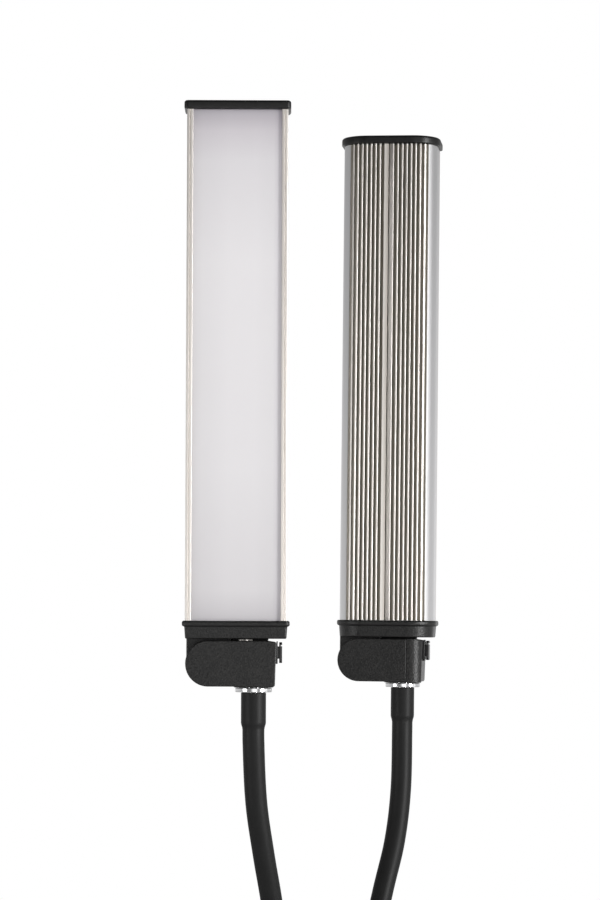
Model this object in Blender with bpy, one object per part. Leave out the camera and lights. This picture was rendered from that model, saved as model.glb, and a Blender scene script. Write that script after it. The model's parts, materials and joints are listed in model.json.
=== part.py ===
"""Double arm LED fill light.

Two folding light bars stand on bendable necks that rise from one hub with a socket
for a light stand. The left bar shows its diffuser to the front (-Y) and the right
bar is swivelled half round, so it shows its finned back. The two bars are alike but
mirrored front to back.

Metres, +Z up. The origin is at the mouth of the stand socket, on its axis.
"""

import math

import bmesh
import bpy
from mathutils import Matrix, Vector

MM = 0.001

# Air between pieces that touch or pass through each other
GAP = 0.3 * MM

# Light bar: a finned aluminium extrusion
BAR_LENGTH = 300 * MM
BAR_WIDTH = 59.4 * MM
BAR_DEPTH = 33.6 * MM
BAR_CORNER = 11.5 * MM
BAR_WALL = 1.6 * MM
FIN_COUNT = 7
FIN_FIRST = 5.6 * MM
FIN_PITCH = 2.82 * MM
FIN_THICK = 1.25 * MM
FIN_HEIGHT = 4.8 * MM
SPINE_WIDTH = 2.9 * MM
SPINE_SLOT = 0.6 * MM
LIP_WIDTH = 3.6 * MM
LIP_THICK = 1.2 * MM
LIP_GROOVE = 0.5 * MM
LEDGE_THICK = 1.2 * MM
PORT_RADIUS = 1.5 * MM
PORT_MOUTH = 1.15 * MM

# What the bar holds
DIFFUSER_THICK = 1.8 * MM
DIFFUSER_HOLD = 1.2 * MM
BOARD_WIDTH = 24 * MM
BOARD_THICK = 1.6 * MM
BOARD_END_SPACE = 3 * MM
CHIP_ROWS = 16
CHIP_SPREAD = 11 * MM
CHIP_LENGTH = 3.5 * MM
CHIP_WIDTH = 2.8 * MM
CHIP_HEIGHT = 0.8 * MM

# Plastic caps at the bar's ends
CAP_THICK = 4.9 * MM
CAP_OVERHANG = 1.7 * MM
CAP_FRONT_CORNER = 2.6 * MM
RIM_THICK = 3.05 * MM
SKIRT_HEIGHT = 7.15 * MM
SKIRT_OVERHANG = 0.3 * MM
SKIRT_CORNER = 1.2 * MM
CAP_POCKET_WIDTH = 26 * MM
CAP_POCKET_DEPTH = 16 * MM
CAP_POCKET_FLOOR = 2.4 * MM

# Fold hinge: a round-ended block under the bar, forked round the cap's tongue
BLOCK_HEIGHT = 26.7 * MM
BLOCK_WALL = 2.2 * MM
BLOCK_EDGE = 1.0 * MM
COVER_THICK = 1.5 * MM
COVER_PAST_NECK = 1.3 * MM
FOLD_CLEARANCE = 1.1 * MM
END_OVERHANG = 6.95 * MM
ROUND_END_INSET = 0.65 * MM
NECK_INSET = 12.7 * MM
TONGUE_THICK = 12 * MM
TONGUE_RELIEF = 0.3 * MM
WASHER_THICK = 1.0 * MM
WASHER_RADIUS = 8 * MM
PIVOT_RADIUS = 3 * MM
PIVOT_HEAD_RADIUS = 5 * MM
PIVOT_HEAD_THICK = 3 * MM
PIVOT_NUT_RADIUS = 5.8 * MM
PIVOT_NUT_THICK = 3.6 * MM
BOSS_RADIUS = 11.8 * MM
BOSS_HEIGHT = 0.7 * MM

# Push switch in the square end of the block
SWITCH_HEIGHT = 13.2 * MM
SWITCH_WIDTH = 11 * MM
SWITCH_RIM = 1.1 * MM
SWITCH_PROUD = 1.9 * MM
SWITCH_FROM_TOP = 7.0 * MM
SWITCH_BODY_HEIGHT = 9 * MM
SWITCH_BODY_WIDTH = 8 * MM
SWITCH_BODY_DEPTH = 6 * MM
SWITCH_SEAT = 0.4 * MM
PLUNGER_HEIGHT = 5.6 * MM
PLUNGER_WIDTH = 4.6 * MM
BUTTON_TRAVEL = 0.8 * MM
BUTTON_PLATE = 0.7 * MM

# Bendable neck and its fittings
NECK_RADIUS = 6.45 * MM
NECK_RISE = 318 * MM
NECK_PARTS = 4
STRAIGHT_TOP = 26 * MM
CUP_CLEARANCE = 0.45 * MM
CUP_RIM_SHARE = 0.83
SLEEVE_WALL = 0.6 * MM
SLEEVE_LENGTH = 17.4 * MM
SLEEVE_TAPER = 4 * MM
FLANGE_RADIUS = 10.85 * MM
FLANGE_THICK = 2.4 * MM
STUB_RADIUS = 5.2 * MM
STUB_NUT_RADIUS = 8.6 * MM
STUB_NUT_THICK = 2.6 * MM
SPIGOT_RADIUS = 3.8 * MM
SPIGOT_LENGTH = 9 * MM
ROOT_LENGTH = 14 * MM
ROOT_TAPER = 3 * MM

# Hub
HUB_LENGTH = 84 * MM
HUB_DEPTH = 40 * MM
HUB_HEIGHT = 32 * MM
HUB_SPLIT = 22 * MM
HUB_WALL = 2.4 * MM
HUB_CHAMFER = 1.5 * MM
PILLAR_RADIUS = 2.8 * MM
PILLAR_TO_WALL = 2 * MM
NUT_TO_PILLAR = 1.4 * MM
SHELF_HEIGHT = 10.3 * MM
SHELF_STEP = 1.2 * MM
JACK_RADIUS = 4 * MM
JACK_BORE = 2.75 * MM
JACK_PIN = 1.05 * MM
JACK_LENGTH = 13 * MM

# Stand socket and its clamp screw
SOCKET_BORE = 8.15 * MM
SOCKET_TO_SIDE = 5 * MM
SOCKET_DROP = 30 * MM
SOCKET_ROOF = 2 * MM
PLATE_THICK = 2.6 * MM
CLAMP_HEIGHT = 14 * MM
STUD_RADIUS = 3 * MM
KNOB_RADIUS = 11.5 * MM
KNOB_LOBE = 1.1 * MM
KNOB_LOBES = 6
KNOB_THICK = 13 * MM
KNOB_STANDOFF = 4 * MM

# Small self-tapping screws
SCREW_SHANK = 1.15 * MM
SCREW_HEAD = 2.5 * MM
SCREW_HEAD_THICK = 1.6 * MM
SCREW_GRIP = 7 * MM

# How each arm is bent, as (share of the rise, x, y) counted from its first bend
ARMS = {
    "left": {
        "front": -1,
        "lean": math.radians(0.3),
        "turn": 0.0,
        "bends": (
            (0.25, 1.7 * MM, -8 * MM),
            (0.45, 0.6 * MM, -25 * MM),
            (0.6, -4.9 * MM, -41.5 * MM),
            (0.7, -10 * MM, -51.5 * MM),
            (0.8, -14.3 * MM, -59 * MM),
            (1.0, -16.3 * MM, -64 * MM),
        ),
    },
    "right": {
        "front": 1,
        "lean": math.radians(0.8),
        "turn": math.radians(-7.2),
        "bends": (
            (0.25, 1 * MM, 8 * MM),
            (0.45, 8 * MM, 25 * MM),
            (0.6, 19.8 * MM, 41.5 * MM),
            (0.7, 27.5 * MM, 51.5 * MM),
            (0.8, 31.2 * MM, 59 * MM),
            (1.0, 32.3 * MM, 64 * MM),
        ),
    },
}

# How finely the round forms are cut
ROUND_SIDES = 20
SMALL_SIDES = 12
NECK_SIDES = 14
CORNER_STEPS = 5
PATH_STEPS = 12
RINGS_PER_PART = 5

# Heights and places that follow from the sizes above
skirt_width = BAR_WIDTH + 2 * SKIRT_OVERHANG
block_length = skirt_width - END_OVERHANG - ROUND_END_INSET
bar_centre = NECK_INSET + END_OVERHANG - skirt_width / 2
block_round = BLOCK_HEIGHT / 2
pivot = Vector((NECK_INSET - block_length + block_round, 0, block_round))
tongue_round = block_round - TONGUE_RELIEF
middle = BAR_DEPTH / 2
slot_front = middle - TONGUE_THICK / 2 - WASHER_THICK - 2 * GAP
slot_rear = middle + TONGUE_THICK / 2 + GAP
nut_front = slot_front - GAP - PIVOT_NUT_THICK
skirt_low = BLOCK_HEIGHT + FOLD_CLEARANCE
rim_low = skirt_low + SKIRT_HEIGHT
rim_high = rim_low + RIM_THICK
bar_low = rim_high + GAP
bar_high = bar_low + BAR_LENGTH
fin_floor = BAR_DEPTH - FIN_HEIGHT
back_wall = fin_floor - BAR_WALL
inner_half = BAR_WIDTH / 2 - BAR_WALL
port_across = inner_half - PORT_RADIUS - PORT_MOUTH
port_depth = back_wall - PORT_RADIUS - PORT_MOUTH
board_back = back_wall - GAP
cover_front = BAR_DEPTH - COVER_THICK
bolt_seat = cover_front - GAP - PIVOT_HEAD_THICK - GAP
flange_top = -BOSS_HEIGHT - GAP
flange_low = flange_top - FLANGE_THICK
neck_end = flange_low - GAP
hub_low = SOCKET_DROP
hub_high = hub_low + HUB_HEIGHT
hub_split = hub_low + HUB_SPLIT
hub_screw_x = HUB_LENGTH / 2 - HUB_WALL - PILLAR_TO_WALL - PILLAR_RADIUS
neck_root_x = hub_screw_x - PILLAR_RADIUS - NUT_TO_PILLAR - STUB_NUT_RADIUS
socket_radius = HUB_DEPTH / 2 - SOCKET_TO_SIDE
shelf = hub_low + SHELF_HEIGHT
plate_low = hub_low + HUB_WALL + GAP
plate_high = plate_low + PLATE_THICK
jack_height = shelf + GAP + BOARD_THICK + GAP + JACK_RADIUS
root_base = hub_high + GAP + FLANGE_THICK
first_bend = root_base + ROOT_LENGTH
sleeve_radius = NECK_RADIUS + GAP + SLEEVE_WALL


def finish(name, colour, roughness, metallic=0.0):
    """A plain Principled material."""
    material = bpy.data.materials.new(name)
    material.use_nodes = True
    shader = material.node_tree.nodes["Principled BSDF"]
    shader.inputs["Base Color"].default_value = (*colour, 1)
    shader.inputs["Roughness"].default_value = roughness
    shader.inputs["Metallic"].default_value = metallic
    material.diffuse_color = (*colour, 1)
    return material


def add(name, bm, parent=None, look=None, smooth=False):
    """A named object from a bmesh, with its faces turned outward."""
    bmesh.ops.recalc_face_normals(bm, faces=bm.faces)
    mesh = bpy.data.meshes.new(name)
    bm.to_mesh(mesh)
    bm.free()
    if smooth:
        mesh.shade_smooth()
        mesh.set_sharp_from_angle(angle=math.radians(35))
    if look:
        mesh.materials.append(look)
    piece = bpy.data.objects.new(name, mesh)
    bpy.context.collection.objects.link(piece)
    piece.parent = parent
    return piece


def helper(name, location, parent=None, rotation=None):
    """An empty that carries a moving body; it stands on the body's joint axis."""
    empty = bpy.data.objects.new(name, None)
    bpy.context.collection.objects.link(empty)
    empty.parent = parent
    empty.location = location
    if rotation:
        empty.rotation_euler = rotation
    return empty


def boolean(target, tool, operation):
    """Cuts the tool out of the target, or joins it on, and hides the tool."""
    modifier = target.modifiers.new(operation.title(), "BOOLEAN")
    modifier.operation = operation
    modifier.solver = "EXACT"
    modifier.object = tool
    tool.hide_render = True
    tool.display_type = "WIRE"


def prism(outline, low, high, place, bm=None):
    """A closed prism: the outline's points at two heights, put in space by place."""
    bm = bm or bmesh.new()
    rings = [[bm.verts.new(place(p, q, h)) for p, q in outline] for h in (low, high)]
    for ring in rings:
        bm.faces.new(ring)
    for i in range(len(outline)):
        j = (i + 1) % len(outline)
        bm.faces.new((rings[0][i], rings[0][j], rings[1][j], rings[1][i]))
    return bm


def turned(profile, sides, place=None, bm=None, loop=False):
    """A turned body from (radius, height) points, closed on its axis or as a loop."""
    bm = bm or bmesh.new()
    place = place or Matrix()
    rows = []
    for radius, height in profile:
        count = sides if radius > 0 else 1
        angles = [2 * math.pi * i / sides for i in range(count)]
        points = [Vector((radius * math.cos(a), radius * math.sin(a), height)) for a in angles]
        rows.append([bm.verts.new(place @ point) for point in points])
    pairs = list(zip(rows, rows[1:]))
    if loop:
        pairs.append((rows[-1], rows[0]))
    for first, second in pairs:
        bridge(bm, first, second, sides)
    return bm


def bridge(bm, first, second, sides):
    """Faces between two rings, either of which may be a single point."""
    for i in range(sides):
        j = (i + 1) % sides
        a, b = first[i % len(first)], first[j % len(first)]
        c, d = second[j % len(second)], second[i % len(second)]
        corners = [a, b, c, d]
        bm.faces.new([v for n, v in enumerate(corners) if v not in corners[:n]])


def arc(across, along, radius, start, end, steps):
    """Points of a circle's stretch, angles in degrees."""
    points = []
    for i in range(steps + 1):
        angle = math.radians(start + (end - start) * i / steps)
        points.append((across + radius * math.cos(angle), along + radius * math.sin(angle)))
    return points


def box(low, high):
    """A box outline from two corners."""
    return [(low[0], low[1]), (high[0], low[1]), (high[0], high[1]), (low[0], high[1])]


def upright(x, y, height=0.0):
    """Places a turned piece on an upright axis."""
    return Matrix.Translation((x, y, height))


def along_y(x, z, start=0.0, sense=1):
    """Places a turned piece on an axis along Y, its height running with sense."""
    turn = Matrix.Rotation(-sense * math.pi / 2, 4, "X")
    return Matrix.Translation((x, start, z)) @ turn


def rod(radius, low, high):
    """Turned profile of a plain rod."""
    return [(0, low), (radius, low), (radius, high), (0, high)]


def tube(radius, bore, low, thick):
    """Turned profile of a ring round an open bore."""
    high = low + thick
    return [(bore, low), (radius, low), (radius, high), (bore, high)]


def hexagon_nut(radius, hole, low, thick, place):
    """A six-sided nut, radius to its corners, clear of a screw as thick as its hole."""
    corners = (hole + GAP) / math.cos(math.pi / 6)
    return turned(tube(radius, corners, low, thick), 6, place, loop=True)


def stepped_rod(lower, upper, low, step, high):
    """Turned profile of a rod whose radius changes at one height."""
    return [(0, low), (lower, low), (lower, step), (upper, step), (upper, high), (0, high)]


def screw_profile(length):
    """A pan-head screw: head up from height 0, shank down."""
    return [
        (0, SCREW_HEAD_THICK),
        (SCREW_HEAD * 0.65, SCREW_HEAD_THICK),
        (SCREW_HEAD, SCREW_HEAD_THICK * 0.45),
        (SCREW_HEAD, 0),
        (SCREW_SHANK, 0),
        (SCREW_SHANK, -length + SCREW_SHANK),
        (SCREW_SHANK * 0.4, -length),
        (0, -length),
    ]


def flipped(profile):
    """The same turned profile upside down."""
    return [(radius, -height) for radius, height in reversed(profile)]


def fin_tip(across):
    """Depth of the bar's outline: flat, then falling round the rear corner."""
    past = across - (BAR_WIDTH / 2 - BAR_CORNER)
    if past <= 0:
        return BAR_DEPTH
    return BAR_DEPTH - BAR_CORNER + math.sqrt(BAR_CORNER**2 - past**2)


def bar_half_outline():
    """Right half of the extrusion, from the slot in its back round to its inside."""
    half = BAR_WIDTH / 2
    spine = SPINE_SLOT / 2 + SPINE_WIDTH
    points = [(SPINE_SLOT / 2, fin_floor), (SPINE_SLOT / 2, BAR_DEPTH)]
    points += [(spine, BAR_DEPTH), (spine, fin_floor)]
    for i in range(FIN_COUNT):
        near = FIN_FIRST + i * FIN_PITCH - FIN_THICK / 2
        far = near + FIN_THICK
        points += [(near, fin_floor), (near, fin_tip(near))]
        points += [(far, fin_tip(far)), (far, fin_floor)]
    edge = FIN_FIRST + FIN_COUNT * FIN_PITCH - FIN_THICK / 2
    start = math.degrees(math.acos((edge - half + BAR_CORNER) / BAR_CORNER))
    points.append((edge, fin_floor))
    points += arc(half - BAR_CORNER, BAR_DEPTH - BAR_CORNER, BAR_CORNER, start, 0, CORNER_STEPS)

    lip = half - LIP_WIDTH
    groove = half - LIP_WIDTH / 2
    hold = lip + DIFFUSER_HOLD + GAP
    ledge = LIP_THICK + DIFFUSER_THICK + 2 * GAP
    points += [(half, GAP), (half - GAP, 0)]
    points += [(groove + LIP_GROOVE / 2, 0), (groove, LIP_GROOVE), (groove - LIP_GROOVE / 2, 0)]
    points += [(lip, 0), (lip, LIP_THICK), (hold, LIP_THICK), (hold, ledge)]
    points += [(lip + GAP, ledge), (lip + GAP, ledge + LEDGE_THICK), (inner_half, ledge + LEDGE_THICK)]

    mouth = math.degrees(math.acos(PORT_MOUTH / PORT_RADIUS))
    reach = PORT_RADIUS + PORT_MOUTH + PORT_MOUTH * math.sqrt(2)
    points.append((inner_half, back_wall - reach - (inner_half - port_across - PORT_RADIUS - PORT_MOUTH)))
    points += arc(port_across, port_depth, PORT_RADIUS, 225 + mouth, 585 - mouth, 2 * CORNER_STEPS - 1)
    points.append((inner_half - reach, back_wall))
    return points


def bar_outline():
    """The whole section of the extrusion, as (across, depth) points."""
    right = bar_half_outline()
    left = [(-across, depth) for across, depth in reversed(right)]
    return right + left


def cap_outline(overhang, front_corner):
    """Plan of a cap round the bar: small front corners, wide rear corners."""
    half = BAR_WIDTH / 2 + overhang
    rear = BAR_CORNER + overhang
    front, back = -overhang, BAR_DEPTH + overhang
    return [
        *arc(-half + front_corner, front + front_corner, front_corner, 180, 270, 3),
        *arc(half - front_corner, front + front_corner, front_corner, 270, 360, 3),
        *arc(half - rear, back - rear, rear, 0, 90, CORNER_STEPS + 1),
        *arc(-half + rear, back - rear, rear, 90, 180, CORNER_STEPS + 1),
    ]


def block_outline(right, inset=0.0):
    """Side view of the hinge block: round at the pivot, square at the other end."""
    low, high = inset, BLOCK_HEIGHT - inset
    corner = BLOCK_EDGE
    return [
        *arc(pivot.x, pivot.z, block_round - inset, 90, 270, 3 * CORNER_STEPS),
        *arc(right - corner, low + corner, corner, 270, 360, 2),
        *arc(right - corner, high - corner, corner, 0, 90, 2),
    ]


def stadium(length, depth, inset=0.0):
    """Plan of the hub: straight sides with half-round ends."""
    radius = depth / 2 - inset
    middle_x = (length - depth) / 2
    steps = 2 * CORNER_STEPS
    return [
        *arc(middle_x, 0, radius, -90, 90, steps),
        *arc(-middle_x, 0, radius, 90, 270, steps),
    ]


def smooth_path(points, steps):
    """A smooth curve from the second point to the last but one."""
    path = []
    for i in range(1, len(points) - 2):
        before, start, end, after = points[i - 1 : i + 3]
        for step in range(steps):
            t = step / steps
            bend = (end - before) * t + (2 * before - 5 * start + 4 * end - after) * t**2
            bend += (3 * start - before - 3 * end + after) * t**3
            path.append(start + bend / 2)
    path.append(points[-2])
    return path


class Curve:
    """A measured path: gives the point and the direction at any length along it."""

    def __init__(self, points):
        self.points = points
        self.lengths = [0.0]
        for a, b in zip(points, points[1:]):
            self.lengths.append(self.lengths[-1] + (b - a).length)
        self.total = self.lengths[-1]

    def at(self, length):
        length = min(max(length, 0.0), self.total)
        for i, reached in enumerate(self.lengths[1:]):
            if length <= reached:
                share = (length - self.lengths[i]) / (reached - self.lengths[i])
                return self.points[i].lerp(self.points[i + 1], share)
        return self.points[-1]

    def direction(self, length):
        reach = 4 * MM
        return (self.at(length + reach) - self.at(length - reach)).normalized()


def ring_frame(centre, direction):
    """A frame whose Z runs along the neck and whose X stays close to the world's X."""
    z = direction.normalized()
    y = z.cross(Vector((1, 0, 0))).normalized()
    x = y.cross(z)
    return Matrix.Translation(centre) @ Matrix((x, y, z)).transposed().to_4x4()


def swept(rings, sides, name, parent, look):
    """A closed tube through (frame, radius) rings; radius 0 closes an end."""
    bm = bmesh.new()
    rows = []
    for frame, radius in rings:
        count = sides if radius > 0 else 1
        angles = [2 * math.pi * i / sides for i in range(count)]
        points = [Vector((radius * math.cos(a), radius * math.sin(a), 0)) for a in angles]
        rows.append([bm.verts.new(frame @ point) for point in points])
    for first, second in zip(rows, rows[1:]):
        bridge(bm, first, second, sides)
    return add(name, bm, parent, look, smooth=True)


def ball_rings(centre, direction):
    """Rings of the ball that starts a neck part, and of the waist above it."""
    rings = []
    for degrees in (0, 25, 50, 72, 90):
        angle = math.radians(degrees)
        place = centre - direction * NECK_RADIUS * math.cos(angle)
        rings.append((ring_frame(place, direction), NECK_RADIUS * math.sin(angle)))
    waist = centre + direction * NECK_RADIUS * 0.4
    shoulder = centre + direction * NECK_RADIUS * 0.8
    rings.append((ring_frame(waist, direction), NECK_RADIUS * 0.93))
    rings.append((ring_frame(shoulder, direction), NECK_RADIUS))
    return rings


def cup_rings(centre, direction):
    """Rings of the hollow that takes the next ball, from its rim to its floor."""
    hollow = NECK_RADIUS + CUP_CLEARANCE
    rim = math.degrees(math.asin(NECK_RADIUS * CUP_RIM_SHARE / hollow))
    rings = [(ring_frame(centre - direction * hollow, direction), NECK_RADIUS)]
    for degrees in (rim, rim * 0.66, rim * 0.33, 0):
        angle = math.radians(degrees)
        place = centre - direction * hollow * math.cos(angle)
        rings.append((ring_frame(place, direction), hollow * math.sin(angle)))
    return rings


def start_afresh():
    """Removes whatever the file holds."""
    for old in list(bpy.data.objects):
        bpy.data.objects.remove(old)


class HeadViews:
    """Puts a head's outlines in space, for a head that faces front (-1 or 1).

    Depth runs from the diffuser's face to the back, across from the neck's axis.
    """

    def __init__(self, front):
        self.front = front

    def plan(self, across, depth, height):
        return Vector((across, self.front * (middle - depth), height))

    def bar_plan(self, across, depth, height):
        return self.plan(bar_centre + across, depth, height)

    def side(self, across, height, depth):
        return self.plan(across, depth, height)

    def end(self, depth, height, across):
        return self.plan(across, depth, height)


def screws_at(name, places, length, heads_up, parent, look):
    """Alike screws at these points, each an object of its own with the same mesh."""
    profile = screw_profile(length)
    if not heads_up:
        profile = flipped(profile)
    first = add(f"{name}_1", turned(profile, SMALL_SIDES), parent, look, smooth=True)
    first.location = places[0]
    screws = [first]
    for number, place in enumerate(places[1:], start=2):
        screw = bpy.data.objects.new(f"{name}_{number}", first.data)
        bpy.context.collection.objects.link(screw)
        screw.parent = parent
        screw.location = place
        screws.append(screw)
    return screws


def build_bar(side, front, fold, looks):
    """The light bar and its two caps, on the fold's empty."""
    views = HeadViews(front)
    plan = views.bar_plan

    def keep(piece):
        piece.location -= pivot
        return piece

    housing = prism(bar_outline(), bar_low, bar_high, plan)
    keep(add(f"{side}_housing", housing, fold, looks["aluminium"]))

    half = BAR_WIDTH / 2 - LIP_WIDTH + DIFFUSER_HOLD
    near = LIP_THICK + GAP
    sheet = prism(box((-half, near), (half, near + DIFFUSER_THICK)), bar_low, bar_high, plan)
    keep(add(f"{side}_diffuser", sheet, fold, looks["diffuser"]))

    board_front = board_back - BOARD_THICK
    low, high = bar_low + BOARD_END_SPACE, bar_high - BOARD_END_SPACE
    strip = box((-BOARD_WIDTH / 2, board_front), (BOARD_WIDTH / 2, board_back))
    board = keep(add(f"{side}_led_board", prism(strip, low, high, plan), fold, looks["board"]))

    chips = bmesh.new()
    chip_back = board_front + BOARD_THICK / 2
    spacing = (high - low) / CHIP_ROWS
    for row in range(CHIP_ROWS):
        centre = low + spacing * (row + 0.5)
        for column in (-0.5, 0.5):
            across = column * CHIP_SPREAD
            outline = box(
                (across - CHIP_WIDTH / 2, board_front - CHIP_HEIGHT),
                (across + CHIP_WIDTH / 2, chip_back),
            )
            prism(outline, centre - CHIP_LENGTH / 2, centre + CHIP_LENGTH / 2, plan, chips)
    boolean(board, keep(add(f"{side}_led_chips", chips, fold)), "UNION")

    ports = [plan(sign * port_across, port_depth, 0) for sign in (-1, 1)]
    build_top_cap(side, fold, looks, plan, ports, keep)
    build_bottom_cap(side, views, fold, looks, ports, keep)


def turned_at(profile, places):
    """Bodies of the same turned profile on upright axes at these points."""
    bm = bmesh.new()
    for place in places:
        turned(profile, SMALL_SIDES, upright(place.x, place.y), bm)
    return bm


def build_top_cap(side, fold, looks, plan, ports, keep):
    """The slab over the bar's top end, with its two sunk screws."""
    low = bar_high + GAP
    high = low + CAP_THICK
    slab = prism(cap_outline(CAP_OVERHANG, CAP_FRONT_CORNER), low, high, plan)
    cap = keep(add(f"{side}_top_cap", slab, fold, looks["plastic"]))
    seat = high - SCREW_HEAD_THICK - GAP
    profile = stepped_rod(SCREW_SHANK + GAP, SCREW_HEAD + GAP, low - GAP, seat, high + GAP)
    holes = turned_at(profile, ports)
    boolean(cap, keep(add(f"{side}_top_cap_holes", holes, fold)), "DIFFERENCE")
    places = [Vector((port.x, port.y, seat + GAP)) for port in ports]
    length = seat + GAP - low + SCREW_GRIP
    for screw in screws_at(f"{side}_top_cap_screw", places, length, True, fold, looks["steel"]):
        keep(screw)


def build_bottom_cap(side, views, fold, looks, ports, keep):
    """Rim, skirt and the tongue that hangs into the hinge block's fork."""
    plan = views.bar_plan
    rim = prism(cap_outline(CAP_OVERHANG, CAP_FRONT_CORNER), rim_low, rim_high, plan)
    cap = keep(add(f"{side}_bottom_cap", rim, fold, looks["plastic"]))

    overlap = RIM_THICK / 2
    skirt = prism(cap_outline(SKIRT_OVERHANG, SKIRT_CORNER), skirt_low, rim_low + overlap, plan)
    boolean(cap, keep(add(f"{side}_skirt", skirt, fold)), "UNION")

    left, right = pivot.x - tongue_round, pivot.x + tongue_round
    top = skirt_low + CAP_POCKET_FLOOR / 2
    outline = arc(pivot.x, pivot.z, tongue_round, 180, 360, 2 * CORNER_STEPS)
    outline += [(right, top), (left, top)]
    near, far = middle - TONGUE_THICK / 2, middle + TONGUE_THICK / 2
    tongue = prism(outline, near, far, views.side)
    boolean(cap, keep(add(f"{side}_tongue", tongue, fold)), "UNION")

    half = CAP_POCKET_WIDTH / 2
    pocket_low = skirt_low + CAP_POCKET_FLOOR
    shape = box((-half, middle - CAP_POCKET_DEPTH / 2), (half, middle + CAP_POCKET_DEPTH / 2))
    cuts = prism(shape, pocket_low, rim_high + GAP, plan)
    seat = skirt_low + SCREW_HEAD_THICK + GAP
    low, high = skirt_low - GAP, rim_high + GAP
    profile = stepped_rod(SCREW_HEAD + GAP, SCREW_SHANK + GAP, low, seat, high)
    holes = turned_at(profile, ports)
    through = rod(PIVOT_RADIUS + GAP, -middle, middle)
    bore = turned(through, SMALL_SIDES, along_y(pivot.x, pivot.z))
    boolean(cap, keep(add(f"{side}_cap_pocket", cuts, fold)), "DIFFERENCE")
    boolean(cap, keep(add(f"{side}_cap_screw_holes", holes, fold)), "DIFFERENCE")
    boolean(cap, keep(add(f"{side}_tongue_bore", bore, fold)), "DIFFERENCE")

    places = [Vector((port.x, port.y, seat - GAP)) for port in ports]
    length = rim_high - seat + GAP + SCREW_GRIP
    for screw in screws_at(f"{side}_bottom_cap_screw", places, length, False, fold, looks["steel"]):
        keep(screw)


def build_block(side, front, swivel, looks):
    """The forked hinge block with its cover and pivot."""
    views = HeadViews(front)
    body = prism(block_outline(NECK_INSET), 0, BAR_DEPTH, views.side)
    block = add(f"{side}_block_body", body, swivel, looks["plastic"])
    low = -BOSS_HEIGHT
    boss = turned(rod(BOSS_RADIUS, low, BLOCK_WALL / 2), ROUND_SIDES)
    boolean(block, add(f"{side}_block_boss", boss, swivel), "UNION")

    beyond = 1 * MM
    corner = NECK_INSET - BAR_CORNER
    waste = [(NECK_INSET + beyond, BAR_DEPTH + beyond), (corner, BAR_DEPTH + beyond)]
    waste += arc(corner, BAR_DEPTH - BAR_CORNER, BAR_CORNER, 90, 0, CORNER_STEPS + 1)
    waste.append((NECK_INSET + beyond, BAR_DEPTH - BAR_CORNER))
    low, high = low - beyond, BLOCK_HEIGHT + beyond
    far_left = pivot.x - block_round - beyond
    slot_end = pivot.x + tongue_round + CUP_CLEARANCE
    slot = box((far_left, slot_front), (slot_end, slot_rear))
    rebate = box((far_left, cover_front - GAP), (COVER_PAST_NECK + GAP, BAR_DEPTH + beyond))
    room_left = slot_end + BLOCK_WALL
    room_right = NECK_INSET - BLOCK_WALL
    room = [
        (room_left, BLOCK_WALL),
        (room_right, BLOCK_WALL),
        (room_right, BAR_DEPTH - BAR_CORNER),
        (corner, cover_front - BLOCK_WALL),
        (corner - BLOCK_WALL, cover_front + beyond),
        (room_left, cover_front + beyond),
    ]
    neck_hole = rod(STUB_RADIUS + GAP, low, BLOCK_WALL + beyond)
    cuts = {
        "corner": prism(waste, low, high, views.plan),
        "fork": prism(slot, low, high, views.plan),
        "rebate": prism(rebate, low, high, views.plan),
        "room": prism(room, BLOCK_WALL, BLOCK_HEIGHT - BLOCK_WALL, views.plan),
        "neck_hole": turned(neck_hole, ROUND_SIDES),
    }
    for label, cut in cuts.items():
        boolean(block, add(f"{side}_block_{label}", cut, swivel), "DIFFERENCE")
    cut_pivot_seats(side, front, block, swivel)
    cut_switch_window(side, views, block, swivel)

    plate = prism(block_outline(COVER_PAST_NECK), cover_front, BAR_DEPTH, views.side)
    add(f"{side}_block_cover", plate, swivel, looks["plastic"])
    build_pivot(side, front, swivel, looks)
    build_switch(side, views, swivel, looks)


def depth_axis(front):
    """Places a turned piece on the pivot, its height running from front to back."""
    return along_y(pivot.x, pivot.z, front * middle, -front)


def cut_pivot_seats(side, front, block, swivel):
    """Hole for the pivot bolt, a seat for its head and a hexagon seat for its nut."""
    shank, head = PIVOT_RADIUS + GAP, PIVOT_HEAD_RADIUS + GAP
    blind = nut_front - 2 * GAP - PIVOT_RADIUS / 2
    bore = turned(stepped_rod(shank, head, blind, bolt_seat, BAR_DEPTH), SMALL_SIDES, depth_axis(front))
    boolean(block, add(f"{side}_pivot_bore", bore, swivel), "DIFFERENCE")

    seat = turned(rod(PIVOT_NUT_RADIUS + 1.5 * GAP, nut_front - GAP, middle), 6, depth_axis(front))
    boolean(block, add(f"{side}_nut_seat", seat, swivel), "DIFFERENCE")


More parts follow.
